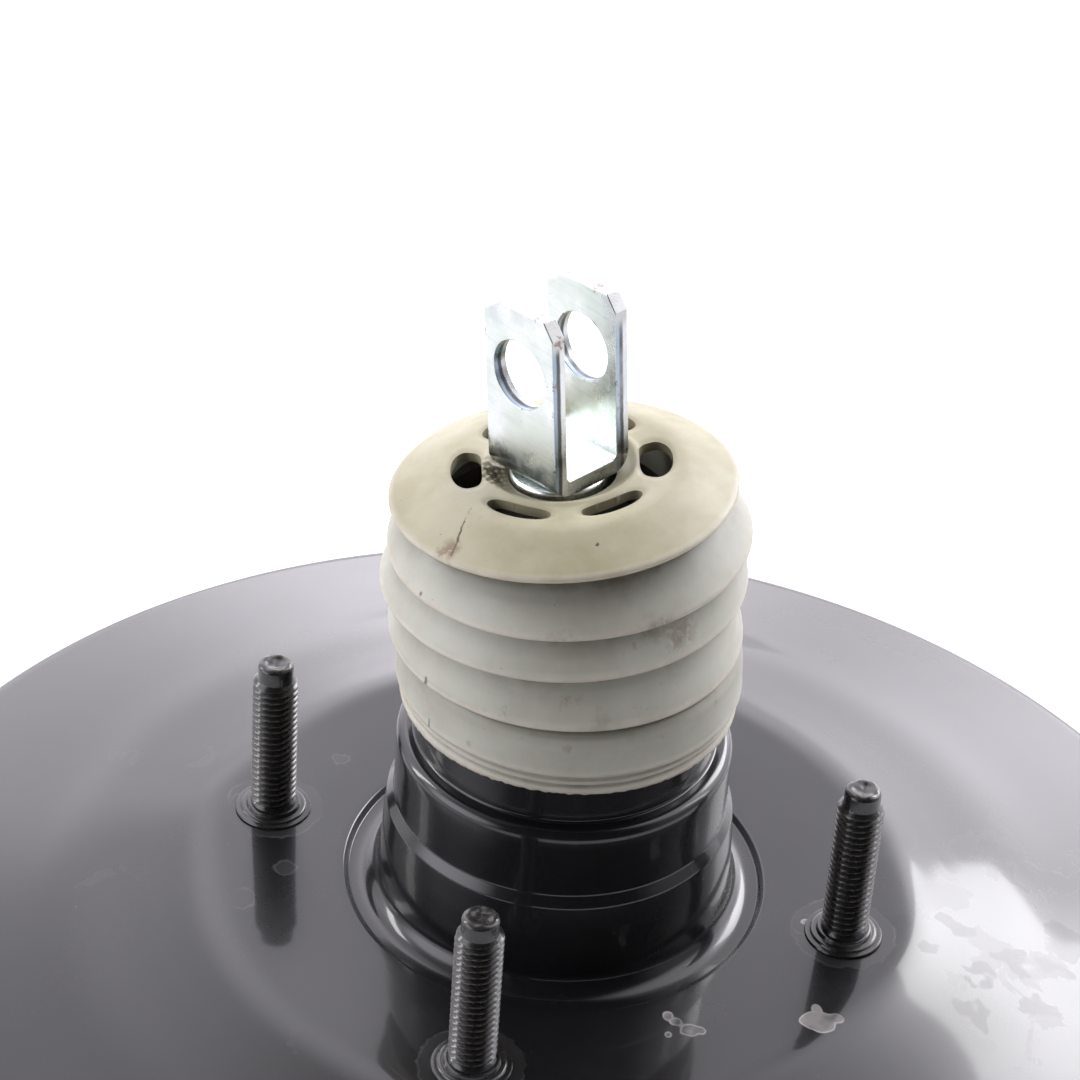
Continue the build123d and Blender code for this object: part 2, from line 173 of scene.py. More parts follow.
def sheet_spin(points, radii, t, n, warp=None, step=1.6, seg=7, holes=()):
    """A turned sheet with both skins and its edges; holes are (x, y, radius) and go through with walls."""
    outer, inner = paired(points, radii, t, seg, step)
    m = len(outer)
    vo, fo = spin(outer, n, warp, closed=False)
    vi, fi = spin(inner, n, warp, closed=False)
    faces_o = np.asarray(fo)
    keep = np.ones(len(faces_o), bool)
    centre = vo[faces_o].mean(1)
    for hx, hy, hr in holes:
        keep &= np.hypot(centre[:, 0] - hx, centre[:, 1] - hy) > hr
    base = n * m
    faces = [faces_o[keep], faces_o[keep][:, ::-1] + base]
    u = np.arange(n)
    u1 = (u + 1) % n
    for j in (0, m - 1):
        faces.append(np.stack([u * m + j, u1 * m + j, u1 * m + j + base, u * m + j + base], 1))
    if not keep.all():
        edges = {}
        for f in faces_o[~keep]:
            for k in range(4):
                e = (int(f[k]), int(f[(k + 1) % 4]))
                if (e[1], e[0]) in edges:
                    del edges[(e[1], e[0])]
                else:
                    edges[e] = True
        faces.append(np.array([[a, b, b + base, a + base] for a, b in edges]))
        verts = np.concatenate([vo, vi])
        for a, b in edges:                      # the jagged border is drawn onto the hole's circle
            for p in (a, b):
                for hx, hy, hr in holes:
                    d = np.hypot(verts[p, 0] - hx, verts[p, 1] - hy)
                    if d < hr * 1.35:
                        s = hr / d
                        for q in (p, p + base):
                            verts[q, 0] = hx + (verts[q, 0] - hx) * s
                            verts[q, 1] = hy + (verts[q, 1] - hy) * s
        return verts, np.concatenate(faces)
    return np.concatenate([vo, vi]), np.concatenate(faces)


# ------------------------------------------------------------------ node helpers
class Nodes:
    """Small wrapper that builds a material's node tree."""

    def __init__(self, name):
        self.m = bpy.data.materials.new(name)
        self.m.use_nodes = True
        self.t = self.m.node_tree
        self.t.nodes.clear()
        self.out = self.add("ShaderNodeOutputMaterial")
        self.bsdf = self.add("ShaderNodeBsdfPrincipled")
        self.link(self.bsdf.outputs[0], self.out.inputs[0])
        self.co = self.add("ShaderNodeTexCoord").outputs["Object"]

    def add(self, kind, **kw):
        n = self.t.nodes.new(kind)
        for k, v in kw.items():
            setattr(n, k, v)
        return n

    def link(self, a, b):
        self.t.links.new(a, b)

    def put(self, socket, value):
        if hasattr(value, "is_output"):
            self.link(value, socket)
        else:
            socket.default_value = value

    def set(self, **kw):
        names = {"color": "Base Color", "rough": "Roughness", "metal": "Metallic", "ior": "IOR", "spec": "Specular IOR Level",
                 "coat": "Coat Weight", "coat_rough": "Coat Roughness", "coat_ior": "Coat IOR", "sheen": "Sheen Weight",
                 "sheen_rough": "Sheen Roughness", "normal": "Normal", "coat_normal": "Coat Normal", "aniso": "Anisotropic",
                 "sss": "Subsurface Weight", "sss_scale": "Subsurface Scale", "diffuse_rough": "Diffuse Roughness",
                 "sheen_tint": "Sheen Tint", "tint": "Specular Tint"}
        for k, v in kw.items():
            if isinstance(v, tuple) and len(v) == 3:
                v = (*v, 1.0)
            self.put(self.bsdf.inputs[names[k]], v)

    def math(self, op, a, b=None, c=None, clamp=False):
        n = self.add("ShaderNodeMath", operation=op, use_clamp=clamp)
        for i, v in enumerate((a, b, c)):
            if v is not None:
                self.put(n.inputs[i], v)
        return n.outputs[0]

    def vmath(self, op, a, b=None, scale=None):
        n = self.add("ShaderNodeVectorMath", operation=op)
        self.put(n.inputs[0], a)
        if b is not None:
            self.put(n.inputs[1], b)
        if scale is not None:
            self.put(n.inputs["Scale"], scale)
        return n.outputs["Value"] if op in ("LENGTH", "DISTANCE", "DOT_PRODUCT") else n.outputs["Vector"]

    def noise(self, scale, detail=4.0, rough=0.55, co=None, distortion=0.0, dims="3D"):
        n = self.add("ShaderNodeTexNoise", noise_dimensions=dims)
        self.put(n.inputs["Vector"], self.co if co is None else co)
        n.inputs["Scale"].default_value = scale
        n.inputs["Detail"].default_value = detail
        n.inputs["Roughness"].default_value = rough
        n.inputs["Distortion"].default_value = distortion
        return n.outputs["Fac"]

    def voronoi(self, scale, feature="F1", co=None, randomness=1.0, out="Distance"):
        n = self.add("ShaderNodeTexVoronoi", feature=feature)
        self.put(n.inputs["Vector"], self.co if co is None else co)
        n.inputs["Scale"].default_value = scale
        n.inputs["Randomness"].default_value = randomness
        return n.outputs[out]

    def mapping(self, scale=(1, 1, 1), rotation=(0, 0, 0), location=(0, 0, 0), co=None):
        n = self.add("ShaderNodeMapping")
        self.put(n.inputs["Vector"], self.co if co is None else co)
        n.inputs["Scale"].default_value = scale
        n.inputs["Rotation"].default_value = rotation
        n.inputs["Location"].default_value = location
        return n.outputs[0]

    def range(self, v, a, b, c=0.0, d=1.0, kind="SMOOTHSTEP"):
        n = self.add("ShaderNodeMapRange", interpolation_type=kind)
        self.put(n.inputs["Value"], v)
        n.inputs["From Min"].default_value = a
        n.inputs["From Max"].default_value = b
        n.inputs["To Min"].default_value = c
        n.inputs["To Max"].default_value = d
        return n.outputs["Result"]

    def mix(self, fac, a, b, blend="MIX"):
        n = self.add("ShaderNodeMix", data_type="RGBA", blend_type=blend)
        self.put(n.inputs["Factor"], fac)
        for sock, v in ((n.inputs["A"], a), (n.inputs["B"], b)):
            pass
        a_in = [s for s in n.inputs if s.name == "A" and s.type == "RGBA"][0]
        b_in = [s for s in n.inputs if s.name == "B" and s.type == "RGBA"][0]
        self.put(a_in, (*a, 1.0) if isinstance(a, tuple) and len(a) == 3 else a)
        self.put(b_in, (*b, 1.0) if isinstance(b, tuple) and len(b) == 3 else b)
        return [s for s in n.outputs if s.type == "RGBA"][0]

    def attribute(self, name):
        return self.add("ShaderNodeAttribute", attribute_name=name).outputs["Fac"]

    def bump(self, height, strength=0.3, distance=0.0002, normal=None):
        n = self.add("ShaderNodeBump")
        n.inputs["Strength"].default_value = strength
        n.inputs["Distance"].default_value = distance
        self.link(height, n.inputs["Height"])
        if normal is not None:
            self.link(normal, n.inputs["Normal"])
        return n.outputs[0]

    def axes(self, co=None):
        n = self.add("ShaderNodeSeparateXYZ")
        self.put(n.inputs[0], self.co if co is None else co)
        return n.outputs

    def segment(self, a, b, co=None):
        """Distance in metres from the line piece a-b (millimetres)."""
        a, b = Vector(a) * MM, Vector(b) * MM
        ab = b - a
        pa = self.vmath("SUBTRACT", self.co if co is None else co, tuple(a))
        h = self.math("DIVIDE", self.vmath("DOT_PRODUCT", pa, tuple(ab)), ab.length_squared, clamp=True)
        return self.vmath("LENGTH", self.vmath("SUBTRACT", pa, self.vmath("SCALE", tuple(ab), scale=h)))

    def most(self, values):
        v = values[0]
        for w in values[1:]:
            v = self.math("MAXIMUM", v, w)
        return v


# ------------------------------------------------------------------ materials
def shell_paint():
    n = Nodes("shell_black_paint")
    wob = n.add("ShaderNodeTexNoise", noise_dimensions="3D")
    n.put(wob.inputs["Vector"], n.co)
    wob.inputs["Scale"].default_value = 420
    wob.inputs["Detail"].default_value = 2
    shift = n.vmath("SCALE", n.vmath("SUBTRACT", wob.outputs["Color"], (0.5, 0.5, 0.5)), scale=0.0022)
    co = n.vmath("ADD", n.co, shift)
    rings, films = [], []
    for (x, y, z, r, w) in SPOTS:
        d = n.vmath("DISTANCE", co, (x * MM, y * MM, z * MM))
        e = n.math("ABSOLUTE", n.math("SUBTRACT", d, r * MM))
        rings.append(n.range(e, 0.0, w * MM, 1.0, 0.0))
        films.append(n.range(d, (r - 0.2) * MM, (r + 0.1) * MM, 1.0, 0.0))
    ring = n.most(rings)
    film = n.most(films)
    wet, wet_rim = [], []
    co2 = n.vmath("ADD", n.co, n.vmath("SCALE", n.vmath("SUBTRACT", n.add_noise_color(160), (0.5, 0.5, 0.5)), scale=0.0022))
    field = None
    for (x, y, z, r) in DROPS:
        d = n.math("SUBTRACT", n.vmath("DISTANCE", co2, (x * MM, y * MM, z * MM)), r * MM)
        field = d if field is None else n.math("SMOOTH_MIN", field, d, 0.0011)
    wet = n.range(field, 0.12 * MM, -0.12 * MM, 0.0, 1.0)
    wet_rim = n.range(n.math("ABSOLUTE", n.math("ADD", field, 0.08 * MM)), 0.03 * MM, 0.24 * MM, 1.0, 0.0)
    big = n.noise(22, 5, 0.6)
    fine = n.noise(900, 3, 0.6)
    # dried splashes, mostly on one side of the slope
    ax = n.axes()
    side = n.range(n.vmath("DISTANCE", n.co, (0.086, -0.052, -0.012)), 0.018, 0.052, 1.0, 0.0)
    blot_n = n.noise(95, 3.5, 0.55, co=n.mapping(location=(0.31, 0.12, 0.0)), distortion=0.5)
    blot = n.range(blot_n, 0.55, 0.575)
    edge = n.math("MULTIPLY", n.range(n.math("ABSOLUTE", n.math("SUBTRACT", blot_n, 0.562)), 0.0, 0.012, 1.0, 0.0), 0.6)
    splash = n.math("MULTIPLY", side, blot)
    spill = n.math("MULTIPLY", side, edge)
    faint_n = n.noise(60, 3, 0.5, co=n.mapping(location=(1.7, 0.4, 0.2)), distortion=0.6)
    faint = n.math("MULTIPLY", n.range(n.math("ABSOLUTE", n.math("SUBTRACT", faint_n, 0.63)), 0.0, 0.006, 1.0, 0.0), 0.35)
    dots = n.range(n.voronoi(330), 0.055, 0.02, 0.0, 1.0)
    gate = n.range(n.noise(140, 2), 0.56, 0.62)
    flat = n.range(ax[2], 0.0012, 0.0002, 0.0, 1.0)
    dust = n.math("MULTIPLY", n.math("MULTIPLY", dots, gate), flat)
    blotches = [n.math("MULTIPLY", n.range(n.vmath("DISTANCE", n.vmath("ADD", n.co, n.vmath("SCALE", n.vmath("SUBTRACT", n.add_noise_color(150), (0.5, 0.5, 0.5)), scale=0.014)), (x * MM, y * MM, z * MM)),
                                        (r - 0.35) * MM, (r + 0.35) * MM, 1.0, 0.0), k) for (x, y, z, r, k) in BLOTS]
    stain = n.most(blotches)
    film_all = n.most([n.math("MULTIPLY", film, 0.35), n.math("MULTIPLY", splash, 0.55), stain])
    line_all = n.most([n.math("MULTIPLY", n.math("MULTIPLY", ring, n.range(n.noise(70, 2), 0.42, 0.60)), 0.6), n.math("MULTIPLY", spill, 0.45), n.math("MULTIPLY", faint, 0.3)])
    base = n.mix(big, (0.0055, 0.0055, 0.0062), (0.0095, 0.0095, 0.0102))
    c = n.mix(n.math("MULTIPLY", film_all, 0.17, clamp=True), base, (0.16, 0.155, 0.15))
    c = n.mix(n.math("MULTIPLY", line_all, 0.16, clamp=True), c, (0.42, 0.40, 0.38))
    c = n.mix(n.math("MULTIPLY", dust, 0.30, clamp=True), c, (0.32, 0.31, 0.29))
    c = n.mix(n.math("ADD", n.math("MULTIPLY", wet, n.range(n.noise(170, 2), 0.38, 0.64, 0.08, 0.42)), n.math("MULTIPLY", wet_rim, n.range(n.noise(130, 2, co=n.mapping(location=(1, 3, 5))), 0.35, 0.6, 0.08, 0.34)), clamp=True), c, (0.50, 0.48, 0.46))
    rough = n.math("ADD", n.range(big, 0.35, 0.7, 0.22, 0.28), n.math("MULTIPLY", fine, 0.02))
    rough = n.math("ADD", rough, n.math("MULTIPLY", film_all, 0.22))
    peel = n.math("ADD", n.math("MULTIPLY", n.noise(260, 2, 0.5), 0.7), n.math("MULTIPLY", line_all, 0.5))
    n.set(color=c, rough=rough, spec=0.25, ior=1.5, coat=0.62, coat_rough=0.07, coat_ior=1.5, normal=n.bump(peel, 0.04, 0.00012), coat_normal=n.bump(peel, 0.022, 0.00012))
    return n.m


def stud_paint():
    n = Nodes("stud_black_phosphate")
    crest = n.attribute("crest")
    wear = n.math("MULTIPLY", crest, n.range(n.noise(700, 3, 0.6), 0.35, 0.6))
    big = n.noise(180, 4)
    base = n.mix(big, (0.008, 0.008, 0.009), (0.018, 0.017, 0.016))
    c = n.mix(n.math("MULTIPLY", wear, 0.30), base, (0.22, 0.19, 0.16))
    rough = n.range(n.noise(500, 4, 0.6), 0.3, 0.7, 0.22, 0.36)
    n.set(color=c, rough=rough, metal=n.math("MULTIPLY", wear, 0.35), spec=0.35, coat=0.45, coat_rough=0.10,
          normal=n.bump(n.noise(1100, 2, 0.5), 0.10, 0.00008))
    return n.m


def zinc(name="bright_zinc", tint=(0.73, 0.76, 0.745), seed=0.0, smudge=1.0, fork=False):
    n = Nodes(name)
    co = n.mapping(location=(seed, seed * 0.7, seed * 1.3))
    streak = n.noise(120, 5, 0.65, co=n.mapping(scale=(1, 1, 14), location=(seed, 0, 0)))
    cloud = n.noise(140, 4, 0.6, co=co)
    fine = n.noise(1400, 3, 0.6, co=co)
    speck = n.range(n.voronoi(520, co=co), 0.10, 0.03, 0.0, 1.0)
    speck = n.math("MULTIPLY", speck, n.range(n.noise(260, 2, co=co), 0.56, 0.62))
    c = n.mix(n.range(cloud, 0.35, 0.7), tint, tuple(v * k for v, k in zip(tint, (0.88, 0.93, 0.87))))
    c = n.mix(n.math("MULTIPLY", n.range(streak, 0.45, 0.75), 0.35), c, (0.44, 0.50, 0.56))
    if fork:                       # duller, bluish plating towards the bend; on the sheared edges, burnished and torn bands that also paint a reflection, blue-grey, black and light in the same direction on both ears
        up = n.math("SUBTRACT", n.vmath("DOT_PRODUCT", n.co, tuple(W)), float(BALL @ W) * MM)
        side = n.vmath("DOT_PRODUCT", n.vmath("SUBTRACT", n.co, tuple(BALL * MM)), tuple(U))
        across = n.math("ABSOLUTE", side)
        low = n.range(n.math("ADD", up, n.math("MULTIPLY", n.noise(300, 3), 0.004)), (ROD_LEN + 9.0) * MM, (ROD_LEN + 6.0) * MM, 0.0, 1.0)
        low = n.math("MULTIPLY", low, n.range(across, 6.6 * MM, 7.4 * MM, 0.0, 1.0))
        low = n.math("MULTIPLY", low, n.range(up, (ROD_LEN + 0.8) * MM, (ROD_LEN + 2.4) * MM, 0.2, 1.0))
        c = n.mix(n.math("MULTIPLY", low, n.range(n.noise(420, 4, 0.7), 0.36, 0.62, 0.15, 0.95)), c, (0.27, 0.32, 0.37))
        edge = n.range(n.attribute("sheared"), 0.80, 1.0)
        # across each sheared edge: blue-grey, then black, then light, laid the same way on both ears: a painted
        # reflection shaped like burnished and torn bands
        w = n.math("SUBTRACT", side, n.math("MULTIPLY", n.math("SIGN", side), 6.7 * MM))
        w = n.math("ADD", w, n.math("MULTIPLY", n.math("SUBTRACT", n.noise(260, 3), 0.5), 0.0004))
        sheared_band_and_reflection = n.mix(n.range(w, -0.70 * MM, -0.35 * MM), (0.26, 0.33, 0.41), (0.035, 0.035, 0.045))
        sheared_band_and_reflection = n.mix(n.range(w, 0.05 * MM, 0.40 * MM), sheared_band_and_reflection, (0.62, 0.64, 0.64))
        sheared_band_and_reflection = n.mix(n.range(across, 5.5 * MM, 5.2 * MM), sheared_band_and_reflection, (0.48, 0.50, 0.49))
        sheared_band_and_reflection = n.mix(n.range(up, (ROD_LEN + 25.5) * MM, (ROD_LEN + 27.5) * MM), sheared_band_and_reflection, (0.46, 0.46, 0.45))
        c = n.mix(n.math("MULTIPLY", edge, 0.9), c, sheared_band_and_reflection)
        rust = n.math("MULTIPLY", n.range(n.noise(300, 4, 0.7, co=n.mapping(location=(9, 4, 6))), 0.60, 0.66), n.range(n.attribute("sheared"), 0.05, 0.5))
        c = n.mix(n.math("MULTIPLY", rust, 0.75), c, (0.17, 0.11, 0.09))
        stain = n.math("MULTIPLY", n.range(n.noise(150, 4, 0.6, co=n.mapping(location=(1, 7, 2))), 0.54, 0.66), n.range(across, 6.4 * MM, 5.6 * MM, 0.0, 1.0))
        c = n.mix(n.math("MULTIPLY", stain, 0.45), c, (0.52, 0.55, 0.44))
    c = n.mix(n.math("MULTIPLY", n.range(n.noise(75, 4, 0.6, co=n.mapping(location=(seed + 3, 1, 2))), 0.55, 0.72), 0.45 * smudge), c, (0.42, 0.46, 0.49))
    c = n.mix(n.math("MULTIPLY", speck, 0.75), c, (0.05, 0.045, 0.05))
    rough = n.math("ADD", n.range(cloud, 0.3, 0.7, 0.16, 0.34), n.math("MULTIPLY", fine, 0.08))
    n.set(color=c, rough=rough, metal=n.range(speck, 0, 1, 1.0, 0.2, "LINEAR"), aniso=0.25,
          normal=n.bump(n.math("ADD", n.math("MULTIPLY", streak, 0.6), n.math("MULTIPLY", fine, 0.4)), 0.10, 0.0001))
    return n.m


def rubber_beige(name, warm, cool, grime=1.0, lines=(), stains=(), tan=(0.40, 0.35, 0.27), spec=0.55):
    n = Nodes(name)
    # the per-vertex grime value carries grime and painted shade together: high in tucks, grooves, undersides and under
    # each lip
    fold = n.attribute("grime")
    lip = n.attribute("lip")
    wear = n.noise(55, 5, 0.62)
    mott = n.noise(190, 5, 0.65, co=n.mapping(location=(0.5, 0.2, 0.9)))
    fine = n.noise(1300, 3, 0.7)
    c = n.mix(n.range(wear, 0.3, 0.7), warm, cool)
    c = n.mix(n.math("MULTIPLY", n.range(mott, 0.5, 0.8), 0.35), c, tuple(v * 0.80 for v in cool))
    patch = n.range(n.noise(75, 4, 0.65, co=n.mapping(location=(2.1, 0.3, 1.4))), 0.50, 0.70)
    # a dark brown layer where that value is high: grime, with painted shade in the tucks and under the lips
    dirt_and_shade = n.math("MULTIPLY", n.math("POWER", fold, 1.3), n.math("ADD", n.math("MULTIPLY", patch, 0.65), 0.35), clamp=True)
    c = n.mix(n.math("MULTIPLY", dirt_and_shade, 0.95 * grime, clamp=True), c, (0.115, 0.09, 0.062))
    # a darker copy of the rubber over the same places: painted shade
    c = n.mix(n.math("MULTIPLY", n.range(fold, 0.02, 0.45), 0.30 * grime, clamp=True), c, tuple(v * 0.62 for v in warm))
    blot = n.math("MULTIPLY", n.range(n.noise(230, 4, 0.7, co=n.mapping(location=(4.1, 2.3, 0.4))), 0.60, 0.70), n.range(n.noise(35, 2, co=n.mapping(location=(1.2, 5.3, 2.4))), 0.52, 0.62))
    c = n.mix(n.math("MULTIPLY", blot, 0.38 * grime, clamp=True), c, (0.20, 0.15, 0.12))
    pin = n.math("MULTIPLY", n.range(n.voronoi(420, co=n.mapping(location=(0.2, 0.1, 0.7))), 0.07, 0.03, 0.0, 1.0), n.range(n.noise(120, 2, co=n.mapping(location=(7, 1, 2))), 0.57, 0.62))
    c = n.mix(n.math("MULTIPLY", pin, 0.7), c, (0.09, 0.07, 0.055))
    # lips: tan rubber colour, then a paler line along them that is a painted highlight on the rounded edges
    painted_lip_highlight = n.math("MULTIPLY", lip, n.range(n.noise(300, 3, 0.6, co=n.mapping(location=(3, 3, 3))), 0.35, 0.65, 0.45, 1.0))
    c = n.mix(n.math("MULTIPLY", n.range(lip, 0.15, 0.9), n.range(n.noise(60, 3, 0.6, co=n.mapping(location=(3, 8, 3))), 0.35, 0.65, 0.20, 0.65)), c, tan)
    c = n.mix(n.math("MULTIPLY", painted_lip_highlight, 0.30), c, (0.62, 0.60, 0.54))
    height = n.math("ADD", n.math("MULTIPLY", fine, 0.35), n.math("MULTIPLY", mott, 0.65))
    for (a, b, w, dark) in lines:
        wob = n.vmath("ADD", n.co, n.vmath("SCALE", n.vmath("SUBTRACT", n.add_noise_color(900), (0.5, 0.5, 0.5)), scale=0.0006))
        d = n.segment(a, b, wob)
        m = n.range(d, w * MM * 0.35, w * MM, 1.0, 0.0)
        c = n.mix(n.math("MULTIPLY", m, dark), c, (0.055, 0.04, 0.03))
        height = n.math("SUBTRACT", height, n.math("MULTIPLY", m, 2.5))
    for (p, r, col, amount) in stains:
        wob = n.vmath("ADD", n.co, n.vmath("SCALE", n.vmath("SUBTRACT", n.add_noise_color(420), (0.5, 0.5, 0.5)), scale=0.004))
        d = n.vmath("DISTANCE", wob, tuple(v * MM for v in p))
        m = n.math("MULTIPLY", n.range(d, r * MM * 0.15, r * MM, 1.0, 0.0), n.range(n.noise(800, 3, 0.6), 0.35, 0.55))
        c = n.mix(n.math("MULTIPLY", m, amount), c, col)
    rough = n.range(mott, 0.3, 0.7, 0.36, 0.52)
    n.set(color=c, rough=rough, spec=spec, sheen=0.06, sheen_rough=0.5, sss=0.04, sss_scale=0.0015,
          normal=n.bump(height, 0.14, 0.0001))
    return n.m


def add_noise_color(self, scale):
    w = self.add("ShaderNodeTexNoise", noise_dimensions="3D")
    self.put(w.inputs["Vector"], self.co)
    w.inputs["Scale"].default_value = scale
    w.inputs["Detail"].default_value = 2
    return w.outputs["Color"]


Nodes.add_noise_color = add_noise_color


def plain(name, a, b, rough=(0.4, 0.6), metal=0.0, scale=150, bump=0.15, spec=0.5, fibre=None):
    n = Nodes(name)
    big = n.noise(scale, 5, 0.6)
    fine = n.noise(scale * 9, 3, 0.6)
    c = n.mix(n.range(big, 0.3, 0.7), a, b)
    height = n.math("ADD", n.math("MULTIPLY", big, 0.4), n.math("MULTIPLY", fine, 0.6))
    if fibre:
        f = n.noise(scale * 2, 3, 0.6, co=n.mapping(scale=fibre))
        height = n.math("ADD", height, f)
        c = n.mix(n.math("MULTIPLY", n.range(f, 0.5, 0.75), 0.3), c, tuple(v * 0.6 for v in a))
    n.set(color=c, rough=n.range(fine, 0.3, 0.7, *rough), metal=metal, spec=spec, normal=n.bump(height, bump, 0.0001))
    return n.m


def foam():
    n = Nodes("open_cell_foam")
    cells = n.voronoi(1500)
    c = n.mix(n.range(cells, 0.1, 0.5), (0.03, 0.03, 0.032), (0.30, 0.30, 0.31))
    n.set(color=c, rough=0.95, spec=0.1, sheen=0.4, normal=n.bump(cells, 0.9, 0.0006))
    return n.m


# drops that stayed on the plateau: x, y, z, radius (millimetres)
DROPS = [(20.7, -52.7, 0, 2.5), (19.3, -51.4, 0, 1.9), (21.6, -49.6, 0, 0.9), (23.6, -52.9, 0, 1.3), (-0.9, -42.3, 0, 1.0), (-0.3, -44.9, 0, 1.5), (-1.4, -40.4, 0, 0.9), (1.2, -45.9, 0, 0.9),
         (-3.8, -44.2, 0, 0.7), (31.8, -31.0, 0, 0.8), (-33.5, 30.5, 0, 0.7)]

# dried drops on the slope: x, y, z, radius, strength (millimetres)
BLOTS = [(57.3, -41.1, -3.6, 3.4, 0.9), (62.8, -48.7, -6.5, 4.2, 1.0), (61.5, -59.7, -8.5, 3.6, 0.8), (48.7, -59.5, -5.7, 3.0, 0.9), (48.4, -44.4, -2.0, 2.4, 0.7),
         (76.3, -45.8, -9.6, 3.8, 0.8), (68.6, -23.8, -4.3, 2.6, 0.6), (54.0, -52.0, -5.0, 2.2, 1.0), (70.0, -52.0, -9.0, 2.6, 0.9), (-50.7, 68.7, -8.3, 3.2, 0.35),
         (-39.7, 56.0, -3.0, 2.6, 0.4), (-69.7, 38.8, -6.6, 3.0, 0.35), (-59.1, -15.2, -0.6, 1.8, 0.6), (-51.8, 16.5, 0.0, 2.2, 0.5)]

# water marks on the rear shell: x, y, z, ring radius, ring width (millimetres)
SPOTS = [
    (-36, 36, 0, 8.6, 0.35), (36, -36, 0, 8.9, 0.35), (-36, -36, 0, 8.8, 0.3), (36, 36, 0, 8.5, 0.3),
    (-40.5, 40.0, 0, 2.0, 0.3), (31.2, -31.5, 0, 2.2, 0.3), (-19.4, 42.8, 0, 1.3, 0.3), (-41.5, 20.2, 0, 1.8, 0.35), (-51.8, 16.5, 0, 2.6, 0.3), (6.5, -37.4, 0, 1.0, 0.3),
]

M_SHELL = shell_paint()
M_STUD = stud_paint()
M_ZINC_ROD = zinc("zinc_rod", (0.78, 0.80, 0.80), 1.7, 0.4)
M_STEEL = plain("inner_steel", (0.42, 0.42, 0.43), (0.55, 0.56, 0.57), (0.28, 0.42), 1.0, 120)
M_SPRING = plain("spring_steel", (0.16, 0.16, 0.17), (0.30, 0.30, 0.31), (0.28, 0.4), 1.0, 260)
M_BLACK_RUBBER = plain("black_rubber", (0.018, 0.018, 0.018), (0.032, 0.032, 0.031), (0.5, 0.68), 0.0, 220, 0.3, 0.35)
M_HUB = plain("phenolic_hub", (0.045, 0.036, 0.028), (0.085, 0.07, 0.055), (0.42, 0.6), 0.0, 180, 0.35, 0.45, (1, 1, 6))
M_NYLON = plain("black_nylon", (0.016, 0.016, 0.018), (0.034, 0.034, 0.038), (0.34, 0.5), 0.0, 200, 0.2, 0.5)
M_ACETAL = plain("natural_acetal", (0.68, 0.68, 0.63), (0.80, 0.80, 0.76), (0.3, 0.42), 0.0, 140, 0.1, 0.5)
M_FOAM = foam()

# ------------------------------------------------------------------ rear shell
SHEET = 1.8
STUDS = [(sx * 36.0, sy * 36.0) for sx in (-1, 1) for sy in (-1, 1)]


def angle_gap(th, a):
    return np.abs((th - a + math.pi) % TAU - math.pi)


def rear_warp(r, z, th):
    r, z = r.copy(), z.copy()
    lobe = sum(2.6 * np.exp(-(angle_gap(th, math.radians(45 + 90 * k)) / math.radians(13.5)) ** 2) for k in range(4))
    w = smoothstep(46, 57, r) * (1 - smoothstep(70, 92, r)) * (z > -20)
    shifted = r + lobe * w
    # plateau is very slightly crowned towards its edge, and the slope has a faint roll
    crown = 0.22 * smoothstep(38, 58, r) ** 2 * (1 - smoothstep(60, 90, r)) * (z > -9)
    z -= crown
    roll = 0.35 * np.exp(-((r - 84) / 9.0) ** 2) * (z < -3) * (z > -14)
    z += roll
    # lances pressed in under the front shell's flange
    for i in range(8):
        a = math.radians(22.5 + 45 * i)
        arc = angle_gap(th, a) * r
        m = (1 - smoothstep(6.6, 8.6, arc)) * smoothstep(-34.2, -35.4, z) * (r > 120)
        shifted -= 2.5 * m
    # small dent in the rim
    dent = np.exp(-((angle_gap(th, math.radians(150.0)) * 129.5) / 5.0) ** 2) * smoothstep(124.5, 129.4, r)
    shifted -= 0.7 * dent
    return shifted, z


slope_z = -0.323 * 70.0
rear_path = [
    (129.5, -37.0), (129.5, slope_z), (59.5, 0.0), (36.2, 0.0), (35.3, -0.95), (30.25, -0.95),
    (29.8, 11.0), (29.4, 16.4), (28.2, 18.1), (28.2, 31.0), (25.1, 31.0), (25.1, 50.0),
]
rear_rad = [0, 5.5, 24.0, 0.7, 0.5, 3.8, 0, 1.0, 1.0, 1.9, 0.55, 0]
v, f = sheet_spin(rear_path, rear_rad, SHEET, 432, rear_warp, step=1.5, seg=8)
make("rear_shell_skin", v, f, M_SHELL, "housing", "shell_black", ("rear_shell",), angle=50)

# ------------------------------------------------------------------ front shell
front_path = [(12.5, -92.0), (20.2, -92.0), (20.2, -106.0), (53.5, -106.0), (65.0, -90.0), (100.0, -90.0), (117.5, -64.0), (121.0, -35.0), (127.4, -35.0)]
front_rad = [0, 0.6, 2.2, 5.0, 5.0, 9.0, 12.0, 2.5, 0]


def front_warp(r, z, th):
    r, z = r.copy(), z.copy()
    for k in (0, math.pi):
        d = np.hypot(r * np.cos(th) - 42 * math.cos(k), r * np.sin(th))
        z += 0.5 * (1 - smoothstep(8.0, 9.6, d)) * (z < -100)
    d = np.hypot(r * np.cos(th), r * np.sin(th) - 82)
    z += 0.0 * d
    # eight shallow stiffening flutes down the drawn side
    flute = sum(np.exp(-(angle_gap(th, math.radians(22.5 + 45 * k)) / math.radians(5.0)) ** 2) for k in range(8))
    r -= 0.9 * flute * smoothstep(-86, -78, z) * (1 - smoothstep(-58, -46, z)) * (r > 100)
    return r, z


v, f = sheet_spin(front_path, front_rad, SHEET, 384, front_warp, step=2.2, seg=7, holes=((0.0, 82.0, 10.6),))
make("front_shell_skin", v, f, M_SHELL, "housing", "shell_black", ("front_shell",), angle=50)


